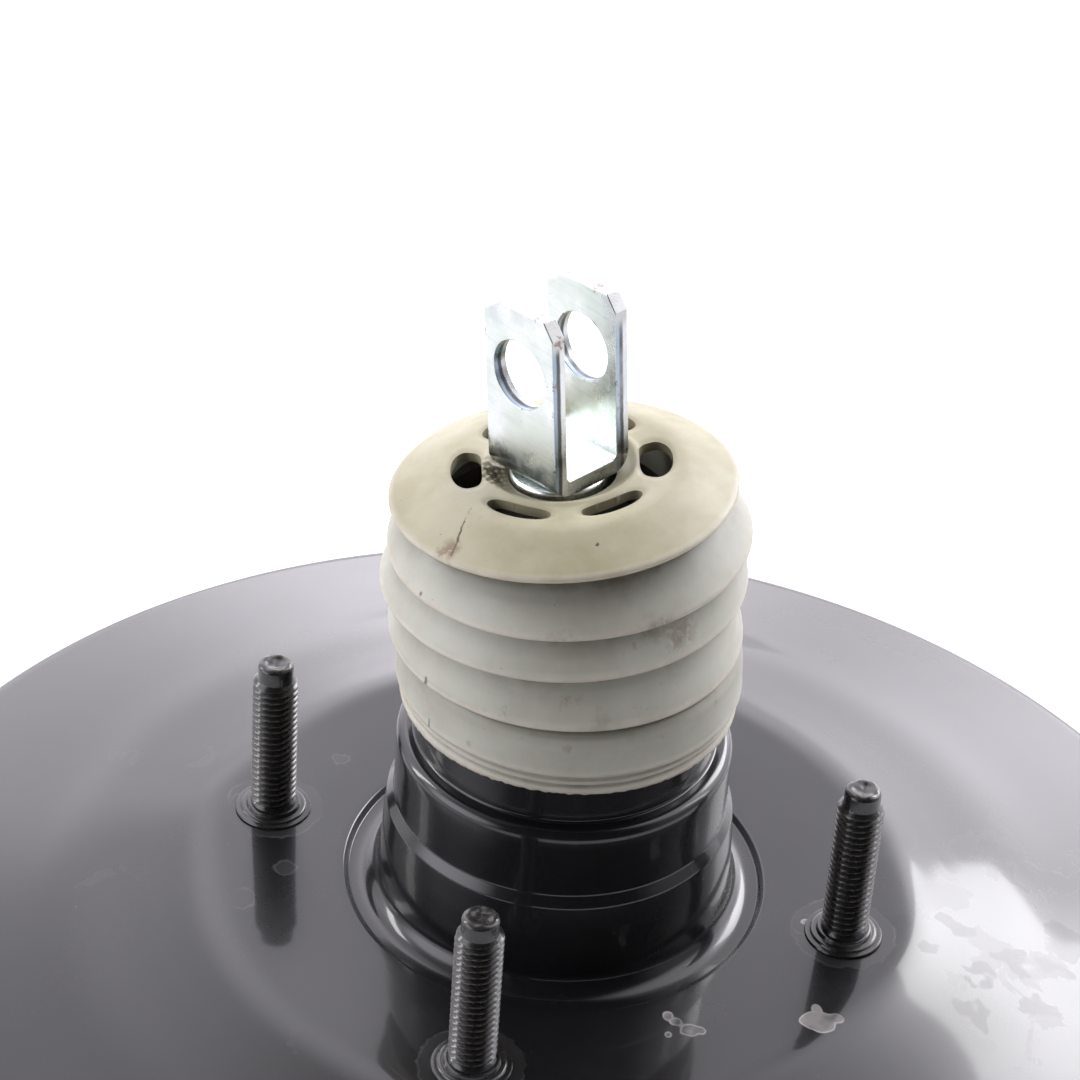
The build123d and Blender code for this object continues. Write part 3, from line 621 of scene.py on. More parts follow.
# ------------------------------------------------------------------ threaded studs
def stud_rows(z0, thread0, thread1, top, head, neck=None, n=54, pitch=1.25, crest=3.95, root=3.27, dog=3.05):
    """Rows (z, radius or None for thread, crest weight) from the head to the tip, then the verts of the solid."""
    rows = []
    if head:
        hz, hr = head
        rows += [(z0, 0.0, 0), (z0, hr - 0.5, 0), (z0 + 0.15, hr - 0.15, 0), (z0 + 0.5, hr, 0), (z0 + hz - 0.4, hr, 0), (z0 + hz - 0.1, hr - 0.15, 0),
                 (z0 + hz, hr - 0.5, 0), (z0 + hz, crest, 0)]
    for z, r in neck or []:
        rows.append((z, r, 0))
    z = thread0
    while z < thread1 - 1e-6:
        rows.append((z, None, 1))
        z += pitch / 12
    rows += [(thread1, 3.12, 0), (thread1 + 0.12, dog, 0), (top - 0.75, dog, 0), (top - 0.5, dog - 0.06, 0), (top - 0.22, dog - 0.28, 0.6), (top - 0.05, dog - 0.62, 1),
             (top, dog - 0.95, 1), (top - 0.06, dog - 1.25, 0.6), (top - 0.22, dog - 1.6, 0), (top - 0.36, dog - 2.1, 0), (top - 0.40, dog - 2.7, 0), (top - 0.40, 0.0, 0)]
    t = np.arange(n) / n * TAU
    V, C = [], []
    for zz, r, c in rows:
        if r is None:
            ph = ((zz - thread0) / pitch - t / TAU) % 1.0
            tri = np.abs(ph - 0.5) * 2                      # 1 at the crest
            h = np.clip((tri - 0.14) / (0.86 - 0.14), 0, 1)
            rr = root + (crest - root) * h
            rr = np.minimum(rr, root + 0.35 + (zz - thread0) * 1.2 + (crest - root))   # run-in
            rr = np.minimum(rr, np.maximum(3.05, 3.12 + (thread1 - zz) * 0.95))        # chamfered start at the tip
            cc = smoothstep(0.72, 0.98, h) * (rr > 3.6)
        else:
            rr = np.full(n, r)
            cc = np.full(n, float(c) * 0.6)
        V.append(np.stack([rr * np.cos(t), rr * np.sin(t), np.full(n, zz)], -1))
        C.append(cc)
    V = np.array(V)                                         # rows, n, 3
    faces = grid_faces(len(rows), n, False, True)
    return V.reshape(-1, 3), faces, np.array(C).ravel()


def ring_rows(profile, n=72):
    p = np.array(profile)
    v, f = spin(p, n)
    return v, f


def stud_set(name, places, down, node, head, thread, top, neck, tips=True):
    V, F, C = [], [], []
    base = 0
    for k, (x, y) in enumerate(places):
        v, f, c = stud_rows(*head[:1], thread[0], thread[1], top, head[1:], neck)
        a = 0.9 * k + 0.4
        rot = np.array([[math.cos(a), -math.sin(a), 0], [math.sin(a), math.cos(a), 0], [0, 0, 1]])
        v = v @ rot.T
        # hammered marks in the cupped end
        tipz = top
        near = (v[:, 2] > tipz - 0.7) & (np.hypot(v[:, 0], v[:, 1]) < 2.6)
        q = v[near]
        v[near, 2] += 0.10 * np.sin(q[:, 0] * 2.3 + k) * np.cos(q[:, 1] * 1.9 - k)
        if down is not None:
            v[:, 2] = down - v[:, 2]
        v[:, 0] += x
        v[:, 1] += y
        V.append(v)
        F.append(f + base)
        C.append(c)
        base += len(v)
    return V, F, C, base


V, F, C, base = stud_set("studs", STUDS, None, None, (-8.58, 4.2, 7.0), (2.35, 28.25), 31.4,
                         [(-4.38, 3.95), (0.0, 3.95), (1.6, 3.95), (1.9, 3.7), (2.3, 3.35)])
collar_profile = [(3.9, 0.02), (6.55, 0.02), (6.62, 0.12), (6.5, 0.30), (6.2, 0.36), (5.75, 0.38), (5.62, 0.62), (5.4, 0.74), (5.0, 0.76),
                  (4.75, 0.80), (4.62, 1.30), (4.5, 1.52), (4.25, 1.6), (3.9, 1.6)]
for x, y in STUDS:
    v, f = spin(np.array(collar_profile), 72, x=x, y=y)
    V.append(v)
    F.append(f + base)
    C.append(np.where((np.hypot(v[:, 0] - x, v[:, 1] - y) > 4.3) & (v[:, 2] > 0.3), 0.10, 0.0))
    base += len(v)
make("firewall_studs_threaded", np.concatenate(V), np.concatenate(F), M_STUD, "housing", "stud_black", ("firewall_studs",), angle=42, merge=0.0005,
     attributes={"crest": np.concatenate(C)})

# master cylinder studs point down: heads inside, tips at z = -136
mc_seat = -106.0 + SHEET + 0.03 + 2.5 + 0.03
V, F, C, base = stud_set("mc", [(-42.0, 0.0), (42.0, 0.0)], -106.0, None, (-(mc_seat + 4.4 + 106.0), 4.4, 6.6), (2.2, 27.2), 30.0,
                         [(-(mc_seat + 106.0), 3.95), (0.0, 3.95), (1.4, 3.95), (1.8, 3.6), (2.15, 3.35)])
make("master_cylinder_studs_threaded", np.concatenate(V), np.concatenate(F), M_STUD, "housing", "stud_black", ("master_cylinder_studs",), angle=42, merge=0.0005,
     attributes={"crest": np.concatenate(C)})

# ------------------------------------------------------------------ dust boot: cuff, bellows, cap
KEY = np.array([  # height of the ring, centre x, y, tilt of the ring's normal x, y
    (38.0, 0.0, 0.0, 0.0, 0.0), (50.0, -0.15, 0.35, -0.002, 0.002), (52.35, -0.61, 1.48, -0.012, 0.012), (61.9, -1.02, 2.50, -0.045, 0.034),
    (69.9, -0.80, 1.94, -0.074, 0.046), (74.0, -1.25, 3.1, -0.073, 0.07), (78.0, -1.55, 3.95, -0.072, 0.098), (84.0, -1.8, 4.4, -0.072, 0.098)])


def boot_ring(z, r, n=288, wav=0.0, phase=0.0):
    cx, cy, nx, ny = [np.interp(z, KEY[:, 0], KEY[:, k]) for k in (1, 2, 3, 4)]
    t = np.arange(n) / n * TAU
    rr = r * (1 + wav * np.cos(2 * t + phase))
    x, y = rr * np.cos(t), rr * np.sin(t)
    return np.stack([cx + x, cy + y, z - x * nx - y * ny], -1)


def boot_piece(profile, n=288, wave=0.004):
    """Closed outline of (z, r, grime and painted shade, lip) turned about the boot's bent axis."""
    P = np.array([boot_ring(z, r, n, wave, 1.1 + 0.05 * z) for z, r, _, _ in profile])   # m, n, 3
    m = len(profile)
    faces = grid_faces(m, n, True, True)
    g = np.repeat(np.array([p[2] for p in profile], float)[:, None], n, 1).ravel()
    l = np.repeat(np.array([p[3] for p in profile], float)[:, None], n, 1).ravel()
    return P.reshape(-1, 3), faces, {"grime": g, "lip": l}


def dense(profile, step=0.35):
    out = [profile[0]]
    closed = profile + [profile[0]]
    for a, b in zip(closed[:-1], closed[1:]):
        d = math.hypot(b[0] - a[0], b[1] - a[1])
        n = max(1, int(math.ceil(d / step)))
        for k in range(1, n + 1):
            out.append(tuple(a[i] + (b[i] - a[i]) * k / n for i in range(4)))
    return out[:-1]


def lip(z, r, rad=0.62, tuck=1.9, up=0.35, low=0.35):
    """Rounded lower lip of a fold, then the underside that goes in to the tuck."""
    out = []
    # the third value is grime and painted shade: low on the lip, high on its underside and 1 in the tuck; the fourth
    # marks the lip
    for k in range(7):
        a = math.radians(35 - 150 * k / 6)
        out.append((z + rad * math.sin(a) + 0.1, r - rad + rad * math.cos(a), 0.0 if k < 5 else 0.35, 1.0))
    out.append((z - 0.32, r - tuck * 0.62, 0.9, 0.2))
    out.append((z - low, r - tuck, 1.0, 0.0))
    return out


# cuff: grips the spigot
# cuff rows: z, r, grime and painted shade (high in the grooves and round the top edge), lip
cuff = [(50.9, 25.3, 0.6, 0), (51.35, 27.2, 1.0, 0), (50.9, 27.9, 0.9, 0), (50.2, 28.28, 0.55, 0), (48.5, 28.5, 0.25, 0), (46.0, 28.58, 0.1, 0), (44.4, 28.62, 0.1, 0.2), (43.5, 28.72, 0.05, 1),
        (43.15, 28.62, 0.3, 1), (42.95, 28.2, 0.8, 0.2), (42.6, 27.75, 1.0, 0), (42.15, 27.7, 0.8, 0), (41.8, 27.95, 0.3, 0.6), (41.45, 28.0, 0.2, 1), (41.15, 27.85, 0.4, 0.5),
        (40.95, 27.55, 0.9, 0), (40.7, 27.55, 0.7, 0), (40.4, 27.9, 0.2, 0.7), (39.8, 28.05, 0.05, 1), (39.2, 27.95, 0.05, 1), (38.95, 27.5, 0.2, 0.8), (38.9, 26.6, 0.5, 0), (39.0, 25.25, 0.8, 0)]
v, f, at = boot_piece(dense(cuff), wave=0.002)
# chipped lower edge
t = np.arctan2(v[:, 1], v[:, 0])
low = (v[:, 2] < 39.6) & (np.hypot(v[:, 0], v[:, 1]) > 26.4)
chips = sum(a * np.abs(np.sin(t * k + p)) ** 6 for a, k, p in ((0.16, 41, 0.3), (0.14, 67, 1.9), (0.10, 103, 2.2), (0.16, 29, 4.4)))
v[low, 2] += (chips * (0.4 + 0.6 * np.sin(2.3 * t + 0.7) ** 2))[low]
CUFF = (v, f, at)

# bellows: three cones that flare downwards over each other
fold2, fold3, fold4 = (69.9, 29.5), (61.9, 30.0), (52.35, 29.2)
# third value, grime and painted shade: on each cone it falls from 1 just under the lip above to near 0 at the cone's
# own lip, a painted shade from the fold above, with grime
bell = [(75.4, 23.4, 0.9, 0), (75.7, 24.2, 0.95, 0), (75.0, 25.1, 0.75, 0), (73.5, 26.75, 0.35, 0), (72.0, 28.05, 0.12, 0), (70.9, 28.95, 0.05, 0.3)]
bell += lip(*fold2, tuck=2.6)
bell += [(69.0, 26.85, 1.0, 0), (68.3, 27.15, 0.75, 0), (66.9, 27.95, 0.38, 0), (65.2, 28.8, 0.14, 0), (63.2, 29.66, 0.03, 0.2)]
bell += lip(*fold3, tuck=2.9)
bell += [(61.0, 27.0, 1.0, 0), (60.2, 27.25, 0.75, 0), (58.5, 27.85, 0.38, 0), (56.0, 28.5, 0.14, 0), (53.6, 29.06, 0.03, 0.2)]
bell += lip(*fold4, tuck=2.2)
bell += [(51.6, 26.6, 1, 0), (51.75, 25.6, 1, 0)]
# inner skin, back up, fully darkened with grime and painted shade
bell += [(52.9, 26.4, 1, 0), (60.0, 26.7, 1, 0), (60.9, 25.9, 1, 0), (62.0, 26.8, 1, 0), (68.0, 26.4, 1, 0), (68.9, 25.6, 1, 0), (70.0, 26.4, 1, 0), (74.6, 22.6, 1, 0)]
v, f, at = boot_piece(dense(bell), wave=0.004)
BELL = (v, f, at)

# cap: plane of its flat ring
CAP_C = np.array([-0.379 * 4.6, 0.925 * 4.6, 82.0])
CAP_N = np.array([-0.072, 0.098, 0.0])
CAP_N[2] = math.sqrt(1 - CAP_N[0] ** 2 - CAP_N[1] ** 2)
CAP_X = np.array([1.0, 0, 0]) - CAP_N * CAP_N[0]
CAP_X /= np.linalg.norm(CAP_X)
CAP_Y = np.cross(CAP_N, CAP_X)


def cap_point(r, a, h):
    """Point on the cap: radius, angle, height over the flat ring's plane."""
    r, a, h = np.broadcast_arrays(np.asarray(r, float), np.asarray(a, float), np.asarray(h, float))
    return CAP_C + (r * np.cos(a))[..., None] * CAP_X + (r * np.sin(a))[..., None] * CAP_Y + h[..., None] * CAP_N


# skin profile from the inner lip to the rim (r, h, thickness)
cap_skin = [(8.75, -1.75, 1.5), (9.2, -1.45, 1.5), (9.9, -1.30, 1.5), (10.8, -1.0, 1.5), (11.5, -0.35, 1.6), (11.9, 0.12, 1.7), (12.35, 0.30, 1.8), (12.8, 0.16, 1.8), (13.2, -0.05, 1.7), (14.2, -0.12, 1.6),
            (15.5, -0.12, 1.6), (17.0, -0.08, 1.6), (18.4, -0.03, 1.6), (19.4, -0.10, 1.6), (20.2, -0.30, 1.6), (21.2, -0.70, 1.6), (22.6, -1.33, 1.6), (24.2, -2.08, 1.6), (25.8, -2.85, 1.6),
            (27.0, -3.42, 1.5), (27.7, -3.78, 1.3)]
cs = np.array(cap_skin)
# resample finely
s = np.concatenate([[0], np.cumsum(np.hypot(*np.diff(cs[:, :2], axis=0).T))])
ss = np.linspace(0, s[-1], 96)
cs = np.stack([np.interp(ss, s, cs[:, k]) for k in range(3)], 1)
# a little smoothing keeps the bends round
for _ in range(3):
    cs[1:-1, 1] = (cs[:-2, 1] + 2 * cs[1:-1, 1] + cs[2:, 1]) / 4
NC = 432
th = np.arange(NC) / NC * TAU
# vents: angle, half width in angle, inner and outer radius
VENTS = [(152, 20.5, 12.9, 17.9), (212, 21.0, 13.5, 17.0), (272, 21.0, 13.5, 16.9), (331, 20.5, 12.3, 17.7), (32, 20, 12.9, 17.6), (93, 20, 12.9, 17.7)]


def vent_level(r, a):
    """Below 1 inside the nearest vent's outline."""
    best = np.full(np.shape(r), 9.0)
    for deg, half, r0, r1 in VENTS:
        rc = (r0 + r1) / 2
        u = (r - rc) / ((r1 - r0) / 2)
        w = ((a - math.radians(deg) + math.pi) % TAU - math.pi) * rc / (math.radians(half) * rc)
        best = np.minimum(best, (np.abs(u) ** 2.6 + np.abs(w) ** 2.6) ** (1 / 2.6))
    return best


R = np.repeat(cs[:, 0][:, None], NC, 1)
A = np.repeat(th[None, :], len(cs), 0)
# snap grid points near a vent's outline onto it, in (r, angle)
for _ in range(12):
    L = vent_level(R, A)
    e = 1e-3
    gr = (vent_level(R + e, A) - L) / e
    ga = (vent_level(R, A + e / 15) - L) / (e / 15) / 15.0
    g2 = gr ** 2 + ga ** 2 + 1e-9
    dist = (L - 1) / np.sqrt(g2)
    near = np.abs(dist) < 0.17
    R = np.where(near, R - 0.9 * (L - 1) * gr / g2, R)
    A = np.where(near, A - 0.9 * (L - 1) * ga / g2 / 15.0, A)
L = vent_level(R, A)
H = np.interp(R, cs[:, 0], cs[:, 1])
T = np.interp(R, cs[:, 0], cs[:, 2])
# soft dishing round the vents, and a torn, lumpy place on the collar
H = H - 0.16 * (1 - smoothstep(1.0, 1.28, L))
torn = np.exp(-(angle_gap(A, math.radians(158)) / math.radians(17)) ** 2) * smoothstep(9.0, 10.6, R) * (1 - smoothstep(12.3, 13.2, R))
lump = np.sin(A * 31 + R * 2.1) * np.sin(A * 17 - R * 3.0 + 1.0)
H = H + torn * (0.55 * lump - 0.35)
top = cap_point(R, A, H)
bot = cap_point(R, A, H - T)
m = len(cs)
faces = grid_faces(m, NC, False, True)
lev = L.ravel()
cen = lev[faces].mean(1)
inside = cen < 1.0
keep = ~inside
base = m * NC
F = [faces[keep], faces[keep][:, ::-1] + base]
edges = {}
for q in faces[inside]:
    for k in range(4):
        e = (int(q[k]), int(q[(k + 1) % 4]))
        if (e[1], e[0]) in edges:
            del edges[(e[1], e[0])]
        else:
            edges[e] = True
F.append(np.array([[a, b, b + base, a + base] for a, b in edges]))
u = np.arange(NC)
u1 = (u + 1) % NC
F.append(np.stack([u, u1, u1 + base, u + base], 1))                       # inner lip's edge
# rim: a rolled lip from the skin's outer edge round to the underside
rim = [(28.0, -3.98), (28.16, -4.2), (28.15, -4.5), (27.98, -4.75), (27.6, -4.88), (27.2, -4.82), (26.85, -4.6)]
rimv = [cap_point(np.full(NC, r), th, np.full(NC, h)) for r, h in rim]
start = 2 * base
allv = [top.reshape(-1, 3), bot.reshape(-1, 3)] + rimv
prev = np.arange(NC) + (m - 1) * NC
for k in range(len(rim)):
    cur = start + k * NC + np.arange(NC)
    F.append(np.stack([prev, np.roll(prev, -1), np.roll(cur, -1), cur], 1))
    prev = cur
lastb = base + (m - 1) * NC + np.arange(NC)
F.append(np.stack([prev, np.roll(prev, -1), np.roll(lastb, -1), lastb], 1))
capv = np.concatenate(allv)
# grime and painted shade on the cap: darker towards the central opening and round the vents, grime on the torn place;
# the underside and the rim's underside darkened as painted shade. The lip value gives the rolled rim its tan colour and
# a painted highlight.
cap_grime_and_shade = (0.85 * (1 - smoothstep(9.0, 11.6, R)) + 0.35 * (1 - smoothstep(1.0, 1.25, L)) + 0.9 * torn)
g = np.concatenate([cap_grime_and_shade.ravel(), np.ones(base) * 0.9, np.repeat([0.05, 0.0, 0.1, 0.4, 0.8, 1, 1], NC)])
lp = np.concatenate([(smoothstep(27.0, 27.7, R) * 0.6).ravel(), np.zeros(base), np.repeat([1, 1, 1, 0.8, 0.3, 0, 0], NC)])
CAP = (capv, np.concatenate(F), {"grime": g, "lip": lp})


def on_cap(px_r, deg, h=-2.0):
    return tuple(cap_point(px_r, math.radians(deg), h))


M_CAP = rubber_beige("boot_cap_rubber", (0.312, 0.283, 0.176), (0.402, 0.382, 0.262), 1.2, tan=(0.40, 0.36, 0.28), spec=0.42,
                     lines=[((-22.5, -1.3, 80.2), (-24.0, -2.6, 79.3), 0.28, 0.9), ((-24.0, -2.6, 79.3), (-24.9, -3.7, 78.8), 0.30, 0.9),
                            ((-24.9, -3.7, 78.8), (-26.9, -5.3, 77.6), 0.24, 0.85), ((-8.5, -17.9, 82.1), (-8.2, -17.8, 82.2), 0.32, 0.95),
                            ((-20.2, 0.6, 80.9), (-22.5, -1.3, 80.2), 0.16, 0.5)],
                     stains=[((-26.6, -3.9, 77.9), 2.6, (0.16, 0.085, 0.045), 0.75), ((-9.4, 9.7, 79.6), 3.2, (0.12, 0.085, 0.055), 0.6),
                             ((14.5, 9.0, 81.0), 2.6, (0.22, 0.13, 0.06), 0.5)])
M_BOOT = rubber_beige("boot_bellows_rubber", (0.342, 0.340, 0.278), (0.424, 0.428, 0.366), 1.25,
                      lines=[((-29.7, -1.5, 68.6), (-29.6, -1.5, 67.6), 0.5, 0.8), ((-29.6, -2.4, 61.8), (-29.6, -2.5, 60.9), 0.5, 0.8),
                             ((-29.4, -3.5, 53.2), (-29.4, -3.5, 52.0), 0.5, 0.8), ((-28.6, -3.7, 46.0), (-28.6, -3.8, 41.5), 0.35, 0.7)],
                      stains=[((-2.0, -27.0, 69.6), 4.0, (0.15, 0.115, 0.08), 0.7), ((3.4, -26.8, 67.6), 4.4, (0.17, 0.13, 0.09), 0.7),
                              ((-9.9, -25.6, 53.4), 3.2, (0.2, 0.16, 0.12), 0.4), ((-16.5, -22.6, 69.3), 2.6, (0.18, 0.15, 0.11), 0.5)])

make("dust_boot_cuff", *CUFF[:2], M_BOOT, "housing", "boot_rubber", ("dust_boot",), angle=60, attributes=CUFF[2])
bellows = make("dust_boot_bellows", *BELL[:2], M_BOOT, "housing", "boot_rubber", ("dust_boot",), angle=60, attributes=BELL[2])
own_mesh(bellows)
cap = make("dust_boot_cap", *CAP[:2], M_CAP, "spring_seat", "boot_rubber", ("dust_boot",), angle=48, attributes=CAP[2])

# inner wall under the cap: closes the wedge between the leaning cap and the folded bellows
wa = np.arange(160) / 160 * TAU
WALL = []
for r, f in [(19.9, 0.0), (20.1, 0.18), (19.8, 0.36), (19.6, 0.54), (19.8, 0.76), (19.9, 1.0), (19.0, 1.0), (19.0, 0.5), (19.0, 0.0)]:
    q = cap_point(np.full(160, r), wa, np.full(160, -1.35))
    q[:, 2] += (73.8 - q[:, 2]) * f
    WALL.append(q)
WALL = np.array(WALL)
# its even grime-and-shade value of 0.45 paints the wall darker, as shade under the cap
make("dust_boot_inner_wall", WALL.reshape(-1, 3), grid_faces(9, 160, True, True), M_BOOT, "spring_seat", "boot_rubber", ("dust_boot",), angle=60,
     attributes={"grime": np.full(9 * 160, 0.45), "lip": np.zeros(9 * 160)})

# ------------------------------------------------------------------ clevis and push rod on the leaning rod
LEAN = np.array([-0.0385, 0.0940, 0.9948])
W = LEAN / np.linalg.norm(LEAN)
yaw = math.radians(13.1)
U = np.array([math.cos(yaw), math.sin(yaw), 0.0])
U -= W * (U @ W)
U /= np.linalg.norm(U)
VV = np.cross(W, U)
BALL = np.array([0, 0, 30.0])


def rodp(p):
    p = np.asarray(p, float).reshape(-1, 3)
    return BALL + p[:, :1] * U + p[:, 1:2] * VV + p[:, 2:3] * W


ROD_LEN, FORK_W, FORK_T, FORK_S, FORK_H, HOLE_R, PIN_Z = 51.1, 15.6, 16.0, 2.6, 31.2, 5.8, 19.9
RO, RI = 3.4, 0.9


M_ZINC = zinc(fork=True)


def ear_outline():
    """Ear's corners in (across, height over the fork's base), from the bend line round the top."""
    h, w = FORK_H, FORK_W / 2
    return [(-w, RO), (-w, h - 2.7), (-w + 1.9, h), (w - 4.2, h), (w, h - 2.3), (w, RO)]


def clevis_mesh():
    n_cols = 40
    out = ear_outline()
    hole_c = np.array([0.0, PIN_Z])
    poly = [np.array(p) for p in out]
    # boundary points: along the outline, then the bend line back
    bpts = []
    for a, b in zip(poly[:-1], poly[1:]):
        k = max(2, int(round(np.hypot(*(b - a)) / 0.55)))
        for i in range(k):
            bpts.append(a + (b - a) * i / k)
    for i in range(n_cols):
        bpts.append(poly[-1] + (poly[0] - poly[-1]) * i / n_cols)
    bpts = np.array(bpts)
    nb = len(bpts)
    ang = np.arctan2(bpts[:, 1] - hole_c[1], bpts[:, 0] - hole_c[0])
    hp = hole_c + HOLE_R * np.stack([np.cos(ang), np.sin(ang)], 1)
    rings = []
    for k in range(9):
        t = (k / 8.0) ** 1.25
        rings.append(hp + (bpts - hp) * t)
    P = np.array(rings)                                 # 9, nb, 2
    verts, faces = [], []

    def add_ear(side):
        base = len(verts)
        u_out, u_in = side * FORK_T / 2, side * (FORK_T / 2 - FORK_S)
        for u in (u_out, u_in):
            for ring in P:
                verts.extend([(u, p[0], ROD_LEN + p[1]) for p in ring])
        fo = grid_faces(9, nb, False, True, base)
        fi = grid_faces(9, nb, False, True, base + 9 * nb)
        faces.extend(fo.tolist())
        faces.extend(fi[:, ::-1].tolist())
        for i in range(nb):                             # hole wall
            j = (i + 1) % nb
            faces.append([base + i, base + j, base + 9 * nb + j, base + 9 * nb + i])
        for i in range(nb - n_cols):                    # outer edge, not the bend line
            j = i + 1
            a, b = base + 8 * nb + i, base + 8 * nb + j
            faces.append([a, b, b + 9 * nb, a + 9 * nb])
        line = [base + 8 * nb + ((nb - n_cols + i) % nb) for i in range(n_cols + 1)]   # from +w to -w
        return line, [q + 9 * nb for q in line], base

    ends = [add_ear(1), add_ear(-1)]
    cols = np.array([bpts[(nb - n_cols + i) % nb][0] for i in range(n_cols + 1)])
    # strip from one bend line down, across the base and up to the other
    outer_path, inner_path = [], []
    for k in range(0, 9):
        a = math.radians(90 * k / 8)
        outer_path.append((FORK_T / 2 - RO + RO * math.cos(a), RO - RO * math.sin(a)))
        ci = (FORK_T / 2 - FORK_S - RI, FORK_S + RI)
        inner_path.append((ci[0] + RI * math.cos(a), ci[1] - RI * math.sin(a)))
    for k in range(1, 8):
        x = outer_path[8][0] * (1 - 2 * k / 8)
        outer_path.append((x, 0.0))
        xi = inner_path[8][0] * (1 - 2 * k / 8)
        inner_path.append((xi, FORK_S))
    for k in range(8, -1, -1):
        outer_path.append((-outer_path[k][0], outer_path[k][1]))
        inner_path.append((-inner_path[k][0], inner_path[k][1]))
    rows_o, rows_i = [ends[0][0]], [ends[0][1]]
    inner_top = RO
    for k in range(1, len(outer_path) - 1):
        base = len(verts)
        verts.extend([(outer_path[k][0], c, ROD_LEN + outer_path[k][1]) for c in cols])
        rows_o.append(list(range(base, base + len(cols))))
        base = len(verts)
        verts.extend([(inner_path[k][0], c, ROD_LEN + inner_path[k][1]) for c in cols])
        rows_i.append(list(range(base, base + len(cols))))
    rows_o.append(ends[1][0])
    rows_i.append(ends[1][1])
    for rows in (rows_o, rows_i):
        for a, b in zip(rows[:-1], rows[1:]):
            for i in range(len(cols) - 1):
                faces.append([a[i], a[i + 1], b[i + 1], b[i]])
    for e in (0, len(cols) - 1):
        for k in range(len(rows_o) - 1):
            faces.append([rows_o[k][e], rows_o[k + 1][e], rows_i[k + 1][e], rows_i[k][e]])
    edge = np.zeros(len(verts))
    for start in (ends[0][2], ends[1][2]):
        for skin in (0, 9 * nb):
            edge[start + skin:start + skin + nb] = 1.0
            edge[start + skin + 8 * nb:start + skin + 9 * nb - n_cols] = 1.0
    for rows in (rows_o, rows_i):
        for row in rows[1:-1]:
            edge[row[0]] = edge[row[-1]] = 1.0
    return rodp(np.array(verts)), faces, edge


v, f, edge = clevis_mesh()
fork = make("clevis_fork", v, f, M_ZINC, "input_rod", "zinc", ("clevis",), angle=30, attributes={"sheared": edge})
bev = fork.modifiers.new("edge", "BEVEL")
bev.width = 0.28 * MM
bev.segments = 3
bev.limit_method = "ANGLE"
bev.angle_limit = math.radians(40)
bev.harden_normals = False

# push rod: ball, shank with swaged ring, flange under the fork, peened end inside it
rod_profile = [(0.0, -5.0)]
rod_profile += [(5.0 * math.cos(a), 5.0 * math.sin(a)) for a in np.radians(np.linspace(-84, 46, 24))]
rod_profile += [(3.3, 4.6), (3.3, 8.6), (3.5, 9.4), (4.2, 11.2), (4.4, 11.7), (4.4, 29.8), (4.7, 30.0), (6.0, 30.2), (6.2, 30.5), (6.2, 31.3), (6.0, 31.6), (4.8, 31.8), (4.4, 32.1),
                (4.4, ROD_LEN - 3.5), (4.6, ROD_LEN - 3.15), (5.2, ROD_LEN - 2.95), (7.5, ROD_LEN - 2.9), (7.85, ROD_LEN - 2.7), (8.0, ROD_LEN - 2.3), (8.0, ROD_LEN - 0.7),
                (7.85, ROD_LEN - 0.3), (7.5, ROD_LEN - 0.05), (3.0, ROD_LEN - 0.02), (0.0, ROD_LEN - 0.02)]
v, f = spin(np.array(rod_profile), 96, closed=False)
v = rodp(v)
make("push_rod_turned", v, f, M_ZINC_ROD, "input_rod", "zinc", ("push_rod",), angle=35, merge=0.0005)


# ------------------------------------------------------------------ springs as true helices with dead end coils
def helix(mean_r, wire_r, z0, z1, turns, dead=0.8, seg=16, per_turn=72, taper=0.0, phase=0.0):
    total = turns + 2 * dead
    n = int(per_turn * total)
    t = np.linspace(0, total, n)
    free = z1 - z0 - 2 * wire_r
    lift = 2 * wire_r * 0.96
    z = np.where(t < dead, lift * t, np.where(t > total - dead, free - lift * (total - t), 0))
    mid = (t >= dead) & (t <= total - dead)
    za, zb = lift * dead, free - lift * dead
    z[mid] = za + (zb - za) * (t[mid] - dead) / turns
    kernel = np.ones(9) / 9
    zs = np.convolve(np.pad(z, 4, mode="edge"), kernel, "valid")
    z = zs + z0 + wire_r
    r = mean_r + taper * (z - z0)
    a = t * TAU + phase
    c = np.stack([r * np.cos(a), r * np.sin(a), z], 1)
    tan = np.gradient(c, axis=0)
    tan /= np.linalg.norm(tan, axis=1)[:, None]
    rad = np.stack([np.cos(a), np.sin(a), 0 * a], 1)
    rad -= tan * (rad * tan).sum(1)[:, None]
    rad /= np.linalg.norm(rad, axis=1)[:, None]
    bi = np.cross(tan, rad)
    s = np.arange(seg) / seg * TAU
    ring = c[:, None] + wire_r * (np.cos(s)[None, :, None] * rad[:, None] + np.sin(s)[None, :, None] * bi[:, None])
    v = ring.reshape(-1, 3)
    f = grid_faces(n, seg, False, True).tolist()
    for e, rev in ((0, False), (n - 1, True)):
        base = len(v)
        v = np.concatenate([v, c[e:e + 1]])
        for k in range(seg):
            q = [e * seg + k, e * seg + (k + 1) % seg, base]
            f.append(q if rev else q[::-1])
    v[:, 2] = np.clip(v[:, 2], z0, z1)
    return v, f


v, f = helix(26.9, 1.9, -101.65, -18.45, 5.2)
spring = make("return_spring_coil", v, f, M_SPRING, "housing", "spring_steel", ("return_spring",), angle=60)
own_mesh(spring)
v, f = helix(13.3, 0.5, 37.3, 44.4, 2.6, seg=10)
spring = make("poppet_spring_coil", v, f, M_SPRING, "power_piston", "spring_steel", ("poppet_spring",), angle=60)
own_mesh(spring)
v, f = helix(8.6, 0.62, 23.45, 27.5, 1.6, seg=12)
spring = make("rod_return_spring_coil", rodp(v), f, M_SPRING, "power_piston", "spring_steel", ("rod_return_spring",), angle=60)
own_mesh(spring)
v, f = helix(4.2, 0.35, -103.9, -96.5, 3.0, seg=10)
v[:, 1] += 82.0
spring = make("check_valve_spring_coil", v, f, M_SPRING, "vacuum_valve", "spring_steel", ("check_valve_spring",), angle=60)
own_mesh(spring)

